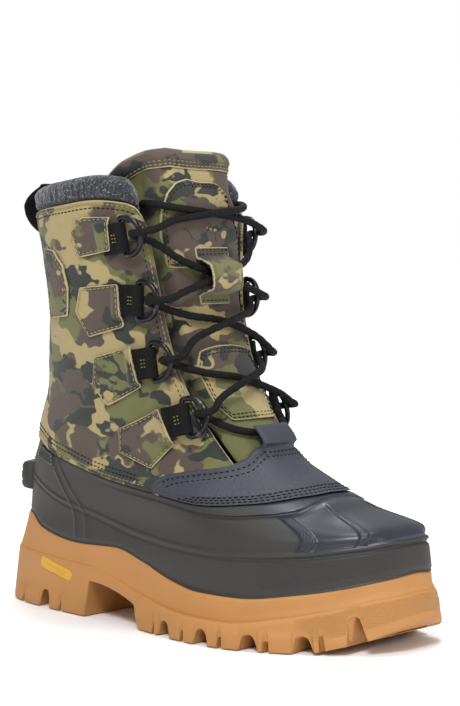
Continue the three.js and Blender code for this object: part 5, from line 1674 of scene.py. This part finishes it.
class BOOT_OT_lace(bpy.types.Operator):
    """Lace: a round braid cut where it crosses the middle, one piece for each loop"""
    bl_idname = "boot.lace"
    bl_label = "Lace"

    def execute(self, context):
        radius = sizes().lace / MM / 2
        braid = stock("braid", braided_lace)
        fine, run, cuts = lace_line()
        marks = np.concatenate([[0], cuts, [run[-1]]])
        angle = np.linspace(0, 2 * np.pi, 25)
        for k in range(len(marks) - 1):
            count = int((marks[k + 1] - marks[k]) / 0.42)
            at = np.linspace(marks[k], marks[k + 1], count)
            line = sample(at, run, fine)
            grid, uv = tube(line, radius, 24)
            uv[..., 1] += marks[k]
            phase = (at * 2 * np.pi / 6.4)[:, None]
            plait = np.maximum(np.cos(angle * 3 + phase), np.cos(angle * 3 - phase))
            plait = (plait - 0.55) * 0.16
            grid = line[:, None] + (grid - line[:, None]) * (1 + plait[..., None] / radius)
            shape = Shape().grid(grid, uv, turned=True)
            for end, turned in ((0, False), (count - 1, True)):
                shape.fan(grid[end, :-1], line[end:end + 1], turned)
            bend = None
            if 0 < k < len(marks) - 2:
                name = BIGHTS[k - 1]
                sign = 1 if name.startswith("inner") else -1
                frame = ring_frame(name)
                tip = line[np.argmax(line[:, 0] * sign)]
                centre = in_frame(frame, np.array([10.0]), np.array([3.6]), np.array([0.0]))[0]
                way = frame[1]
                bend = ("ring_" + name, tuple((centre + way * 24) * MM), tuple((tip + way * 7) * MM))
            build(f"lace_run_{k + 1}", shape, braid, ["lace"] if k == 0 else (), sharp=70, blend=bend,
                  weld=1e-6)
        self.tips(fine)
        return {"FINISHED"}

    @staticmethod
    def tips(fine):
        """Moulded tips on the two ends that are tucked inside the collar."""
        sheath = stock("tip", plain_moulding, "lace_tip", (0.02, 0.02, 0.022), 0.3)
        for word, here, back in (("outer", fine[0], fine[2]), ("inner", fine[-1], fine[-3])):
            way = unit(here - back)
            line = here + np.linspace(0.15, 14, 30)[:, None] * way
            grid, uv = tube(line, 2.15, 20)
            taper = np.clip(0.72 + 0.28 * rounded(13.85 - np.linspace(0, 13.85, 30), 1.2), 0, 1)
            grid = line[:, None] + (grid - line[:, None]) * taper[:, None, None]
            shape = Shape().grid(grid, uv, turned=True)
            for end, turned in ((0, False), (29, True)):
                shape.fan(grid[end, :-1], line[end:end + 1], turned)
            build("lace_tip_sheath_" + word, shape, sheath, ["lace_tip_" + word], sharp=50)


# ---------------------------------------------------------------- trim
class BOOT_OT_trim(bpy.types.Operator):
    """Trim: the embossed side patch, the hem label and their sewing"""
    bl_idname = "boot.trim"
    bl_label = "Side patch and label"

    def execute(self, context):
        outline = outline_of([(0.3, 181), (0.425, 183), (0.448, 200), (0.44, 214), (0.4, 223), (0.35, 224),
                              (0.31, 216), (0.296, 200)], 5, 2)

        def place(turn, level, height):
            return skin(level, turn, PATCH_SEAT + height)

        centre = skin(203.0, 0.373, PATCH_SEAT)

        def emboss(turn, level):
            far = np.linalg.norm(skin(level, turn, PATCH_SEAT) - centre, axis=-1)
            rings = sum(bell(far, r, 0.55) for r in (4.5, 8.2, 11.9))
            return 0.45 * rings + 0.15 * ripple(skin(level, turn), 22, 81)

        patch = plate(outline, place, 1.5, 0.7, emboss)
        printed = camo("side_patch", (0.41, 0.6, 0.33), 0.85)
        build("side_patch_leather", patch, printed, ["side_patch"], sharp=60)
        thread = stock("patch_thread", thread_of, "patch_thread", (0.22, 0.2, 0.16))
        sew("side_patch_stitches", [inset_path(outline, place, 2.4, 1.45)], thread)
        label = outline_of([(0.205, 100.5), (0.283, 95.6), (0.285, 88.5), (0.2, 93)], 6, 1)

        def on_shell(turn, level, height):
            return skin(level, turn, 0.4 + height)

        weave = lambda t, z: 0.06 * np.cos((z + t * 60) * 2 * np.pi / 1.3)
        tape = stock("label", plain_moulding, "label_tape", (0.03, 0.034, 0.028), 0.8)
        build("hem_label_tape", plate(label, on_shell, 0.95, 0.4, weave), tape, ["hem_label"], sharp=60)
        rows = [inset_path(label, on_shell, 0.9, 0.9)]
        sew("hem_label_stitches", rows, light_thread(), length=1.5, radius=0.25)
        return {"FINISHED"}


class BOOT_OT_pull_loop(bpy.types.Operator):
    """Pull loop: a closed band of tape at the heel, flat on the quarters and bulged over the collar's seam"""
    bl_idname = "boot.pull_loop"
    bl_label = "Pull loop"

    def execute(self, context):
        seat = lambda z: skin(z, 0.0, 2.0)[..., 1]
        heights = np.array([222, 228, 232, 236, 241, 246, 250, 254, 258, 262])
        bulge = np.array([0, 0.5, 5.5, 12.0, 17.0, 19.3, 19.8, 17.6, 12.6, 5.0])
        back_z = np.linspace(262, 222, 60)
        front_z = np.linspace(222, 262, 70)
        front = Curve(np.stack([heights, bulge], -1))
        y_flat, y_out = seat(back_z), seat(front_z) + 1.15 + front(front_z)
        y = np.concatenate([y_flat + 1.0, y_out + 0.9])
        z = np.concatenate([back_z, front_z])
        turn_top = np.linspace(0.15, 0.85, 6) * np.pi
        top_mid, top_r = (y[-1] + y[0]) / 2, abs(y[-1] - y[0]) / 2
        y = np.concatenate([y, top_mid - top_r * np.cos(turn_top)])
        z = np.concatenate([z, 262 + top_r * 0.55 * np.sin(turn_top)])
        line = np.stack([y, z], -1)
        way = unit(np.roll(line, -1, 0) - np.roll(line, 1, 0))
        x = np.linspace(-10, 10, 44)
        half = 0.9 * (0.45 + 0.55 * rounded(10 - np.abs(x), 1.0)) * (1 + 0.06 * np.cos(x * 2 * np.pi / 2.6))
        across = np.stack([way[:, 1], -way[:, 0]], -1)

        def sheet(sign):
            yy = line[:, 0:1] + sign * across[:, 0:1] * half
            zz = line[:, 1:2] + sign * across[:, 1:2] * half
            return np.stack(np.broadcast_arrays(x[None, :] + SHIFT[0], yy, zz), -1)

        front_side, back_side = sheet(1), sheet(-1)
        uv = np.stack(np.broadcast_arrays(run_of(line)[:, None], x[None, :]), -1)
        rim = np.stack([front_side[:, -1], back_side[:, -1]], 1)
        rim_low = np.stack([back_side[:, 0], front_side[:, 0]], 1)
        shape = Shape()
        for grid, flip in ((front_side, False), (back_side, True), (rim, False), (rim_low, False)):
            joined = np.concatenate([grid, grid[:1]])
            coords = np.concatenate([uv, uv[:1]])[:, :grid.shape[1]]
            shape.grid(joined, coords, turned=flip)
        tape = stock("webbing", woven_tape)
        build("pull_loop_tape", shape, tape, ["pull_loop"], sharp=50, weld=1e-5)
        rows = []
        x = np.linspace(-8.5, 8.5, 24)
        for height in (224.5, 227.0):
            y = seat(height) + 2.15 + 0.9 + front(height)
            middle = np.stack([x + SHIFT[0], np.full(x.shape, y), np.full(x.shape, height)], -1)
            rows.append((middle, np.broadcast_to([0.0, 1.0, 0.0], middle.shape)))
        sew("pull_loop_stitches", rows, dark_thread(), length=1.6)
        return {"FINISHED"}


class BOOT_OT_inner_parts(bpy.types.Operator):
    """Inner parts: the foam, shank, board and insulation, shown as they are in the frame"""
    bl_idname = "boot.inner_parts"
    bl_label = "Inner parts"

    def execute(self, context):
        looks = {"midsole_foam": ("foam", (0.5, 0.48, 0.42), 0.85, 0.0, 1.6, 0.0005),
                 "shank": ("steel", (0.42, 0.43, 0.45), 0.38, 1.0, 0.6, 0.0001),
                 "insole_board": ("board", (0.24, 0.17, 0.1), 0.9, 0.0, 1.2, 0.0004),
                 "shaft_insulation": ("insulation", (0.55, 0.54, 0.5), 0.95, 0.0, 2.2, 0.0008)}
        for node, (name, tint, rough, metallic, grain, depth) in looks.items():
            kept = NODES.get(node)
            if kept is None:
                continue
            kept.data.materials.clear()
            kept.data.materials.append(stock(name, plain_moulding, name, tint, rough, metallic, grain, depth))
        return {"FINISHED"}


# ---------------------------------------------------------------- stage
VIEW_TURN, VIEW_RISE, VIEW_FAR, VIEW_LENS = -48.568, 3.516, 1.265, 107.1
VIEW_TARGET = (0.00795, -0.00974, 0.1613)
FLOOR_HALF, FLOOR_LEVEL = 9, -0.0005
LAMP_TARGET = (0, 0, 0.13)


class BOOT_OT_stage(bpy.types.Operator):
    """Stage: pale floor, soft studio light and the camera at the front outer corner"""
    bl_idname = "boot.stage"
    bl_label = "Stage"

    def execute(self, context):
        scene = context.scene
        world = bpy.data.worlds.new("studio")
        world.use_nodes = True
        sky = world.node_tree.nodes["Background"]
        sky.inputs["Color"].default_value = (1.0, 1.0, 1.0, 1.0)
        tree = world.node_tree
        ray = tree.nodes.new("ShaderNodeLightPath")
        level = tree.nodes.new("ShaderNodeMapRange")
        level.inputs["To Min"].default_value = 0.42
        level.inputs["To Max"].default_value = 1.0
        tree.links.new(ray.outputs["Is Camera Ray"], level.inputs["Value"])
        tree.links.new(level.outputs["Result"], sky.inputs["Strength"])
        scene.world = world
        mesh = bpy.data.meshes.new("floor")
        corners = [(-1, -1), (1, -1), (1, 1), (-1, 1)]
        mesh.from_pydata([(x * FLOOR_HALF, y * FLOOR_HALF, FLOOR_LEVEL) for x, y in corners], [], [(0, 1, 2, 3)])
        floor = bpy.data.objects.new("floor", mesh)
        scene.collection.objects.link(floor)
        pale = bpy.data.materials.new("pale_floor")
        pale.use_nodes = True
        shader = pale.node_tree.nodes["Principled BSDF"]
        shader.inputs["Base Color"].default_value = (0.98, 0.98, 0.98, 1)
        shader.inputs["Roughness"].default_value = 0.95
        tree = pale.node_tree
        where = tree.nodes.new("ShaderNodeTexCoord")
        far = tree.nodes.new("ShaderNodeVectorMath")
        far.operation = "LENGTH"
        glow = tree.nodes.new("ShaderNodeMapRange")
        glow.interpolation_type = "SMOOTHSTEP"
        for key, value in (("From Min", 0.25), ("From Max", 1.4), ("To Min", 0.0), ("To Max", 0.62)):
            glow.inputs[key].default_value = value
        tree.links.new(where.outputs["Object"], far.inputs[0])
        tree.links.new(far.outputs["Value"], glow.inputs["Value"])
        tree.links.new(glow.outputs["Result"], shader.inputs["Emission Color"])
        shader.inputs["Emission Strength"].default_value = 1.0
        mesh.materials.append(pale)
        turn, rise = math.radians(VIEW_TURN), math.radians(VIEW_RISE)
        back = np.array([math.sin(turn) * math.cos(rise), -math.cos(turn) * math.cos(rise), math.sin(rise)])
        camera = bpy.data.cameras.new("camera")
        camera.lens = VIEW_LENS
        camera.sensor_width = 36.0
        camera.clip_end = 50.0
        eye = bpy.data.objects.new("camera", camera)
        target = Vector(VIEW_TARGET)
        eye.location = target + Vector(back * VIEW_FAR)
        eye.rotation_euler = (target - eye.location).to_track_quat("-Z", "Y").to_euler()
        scene.collection.objects.link(eye)
        scene.camera = eye
        lamps = [("key", (-1.2, -0.8, 1.5), 0.5, 26), ("front", (0.3, -1.6, 0.8), 0.3, 5),
                 ("back", (0.9, 1.0, 1.2), 0.6, 8), ("top", (0.1, -0.1, 1.7), 0.7, 12)]
        for name, place, size, power in lamps:
            light = bpy.data.lights.new(name, "AREA")
            light.size = size
            light.energy = power
            lamp = bpy.data.objects.new(name, light)
            lamp.location = place
            lamp.rotation_euler = (Vector(LAMP_TARGET) - Vector(place)).to_track_quat("-Z", "Y").to_euler()
            scene.collection.objects.link(lamp)
        scene.view_settings.view_transform = "Standard"
        return {"FINISHED"}


# ---------------------------------------------------------------- panel
PIECES = [BOOT_OT_outsole, BOOT_OT_wrap, BOOT_OT_badge, BOOT_OT_shell, BOOT_OT_liner, BOOT_OT_footbed,
          BOOT_OT_quarters, BOOT_OT_overlay, BOOT_OT_tongue, BOOT_OT_lacing_patches, BOOT_OT_rings,
          BOOT_OT_lace, BOOT_OT_trim, BOOT_OT_pull_loop, BOOT_OT_inner_parts, BOOT_OT_stage]


class BOOT_PT_panel(bpy.types.Panel):
    bl_idname = "BOOT_PT_panel"
    bl_label = "Insulated hunting boot"
    bl_space_type = "VIEW_3D"
    bl_region_type = "UI"
    bl_category = "Boot"

    def draw(self, context):
        layout = self.layout
        for group in (context.scene.boot_sizes, context.scene.boot_colours):
            box = layout.box()
            for key in group.__annotations__:
                box.prop(group, key)
        for piece in PIECES:
            layout.operator(piece.bl_idname)


CLASSES = [BootSizes, BootColours, *PIECES, BOOT_PT_panel]


def register():
    for item in CLASSES:
        bpy.utils.register_class(item)
    bpy.types.Scene.boot_sizes = bpy.props.PointerProperty(type=BootSizes)
    bpy.types.Scene.boot_colours = bpy.props.PointerProperty(type=BootColours)


def unregister():
    del bpy.types.Scene.boot_colours
    del bpy.types.Scene.boot_sizes
    for item in reversed(CLASSES):
        bpy.utils.unregister_class(item)


def main():
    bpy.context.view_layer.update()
    register()
    for piece in PIECES:
        family, action = piece.bl_idname.split(".")
        getattr(getattr(bpy.ops, family), action)()


if __name__ == "__main__":
    main()
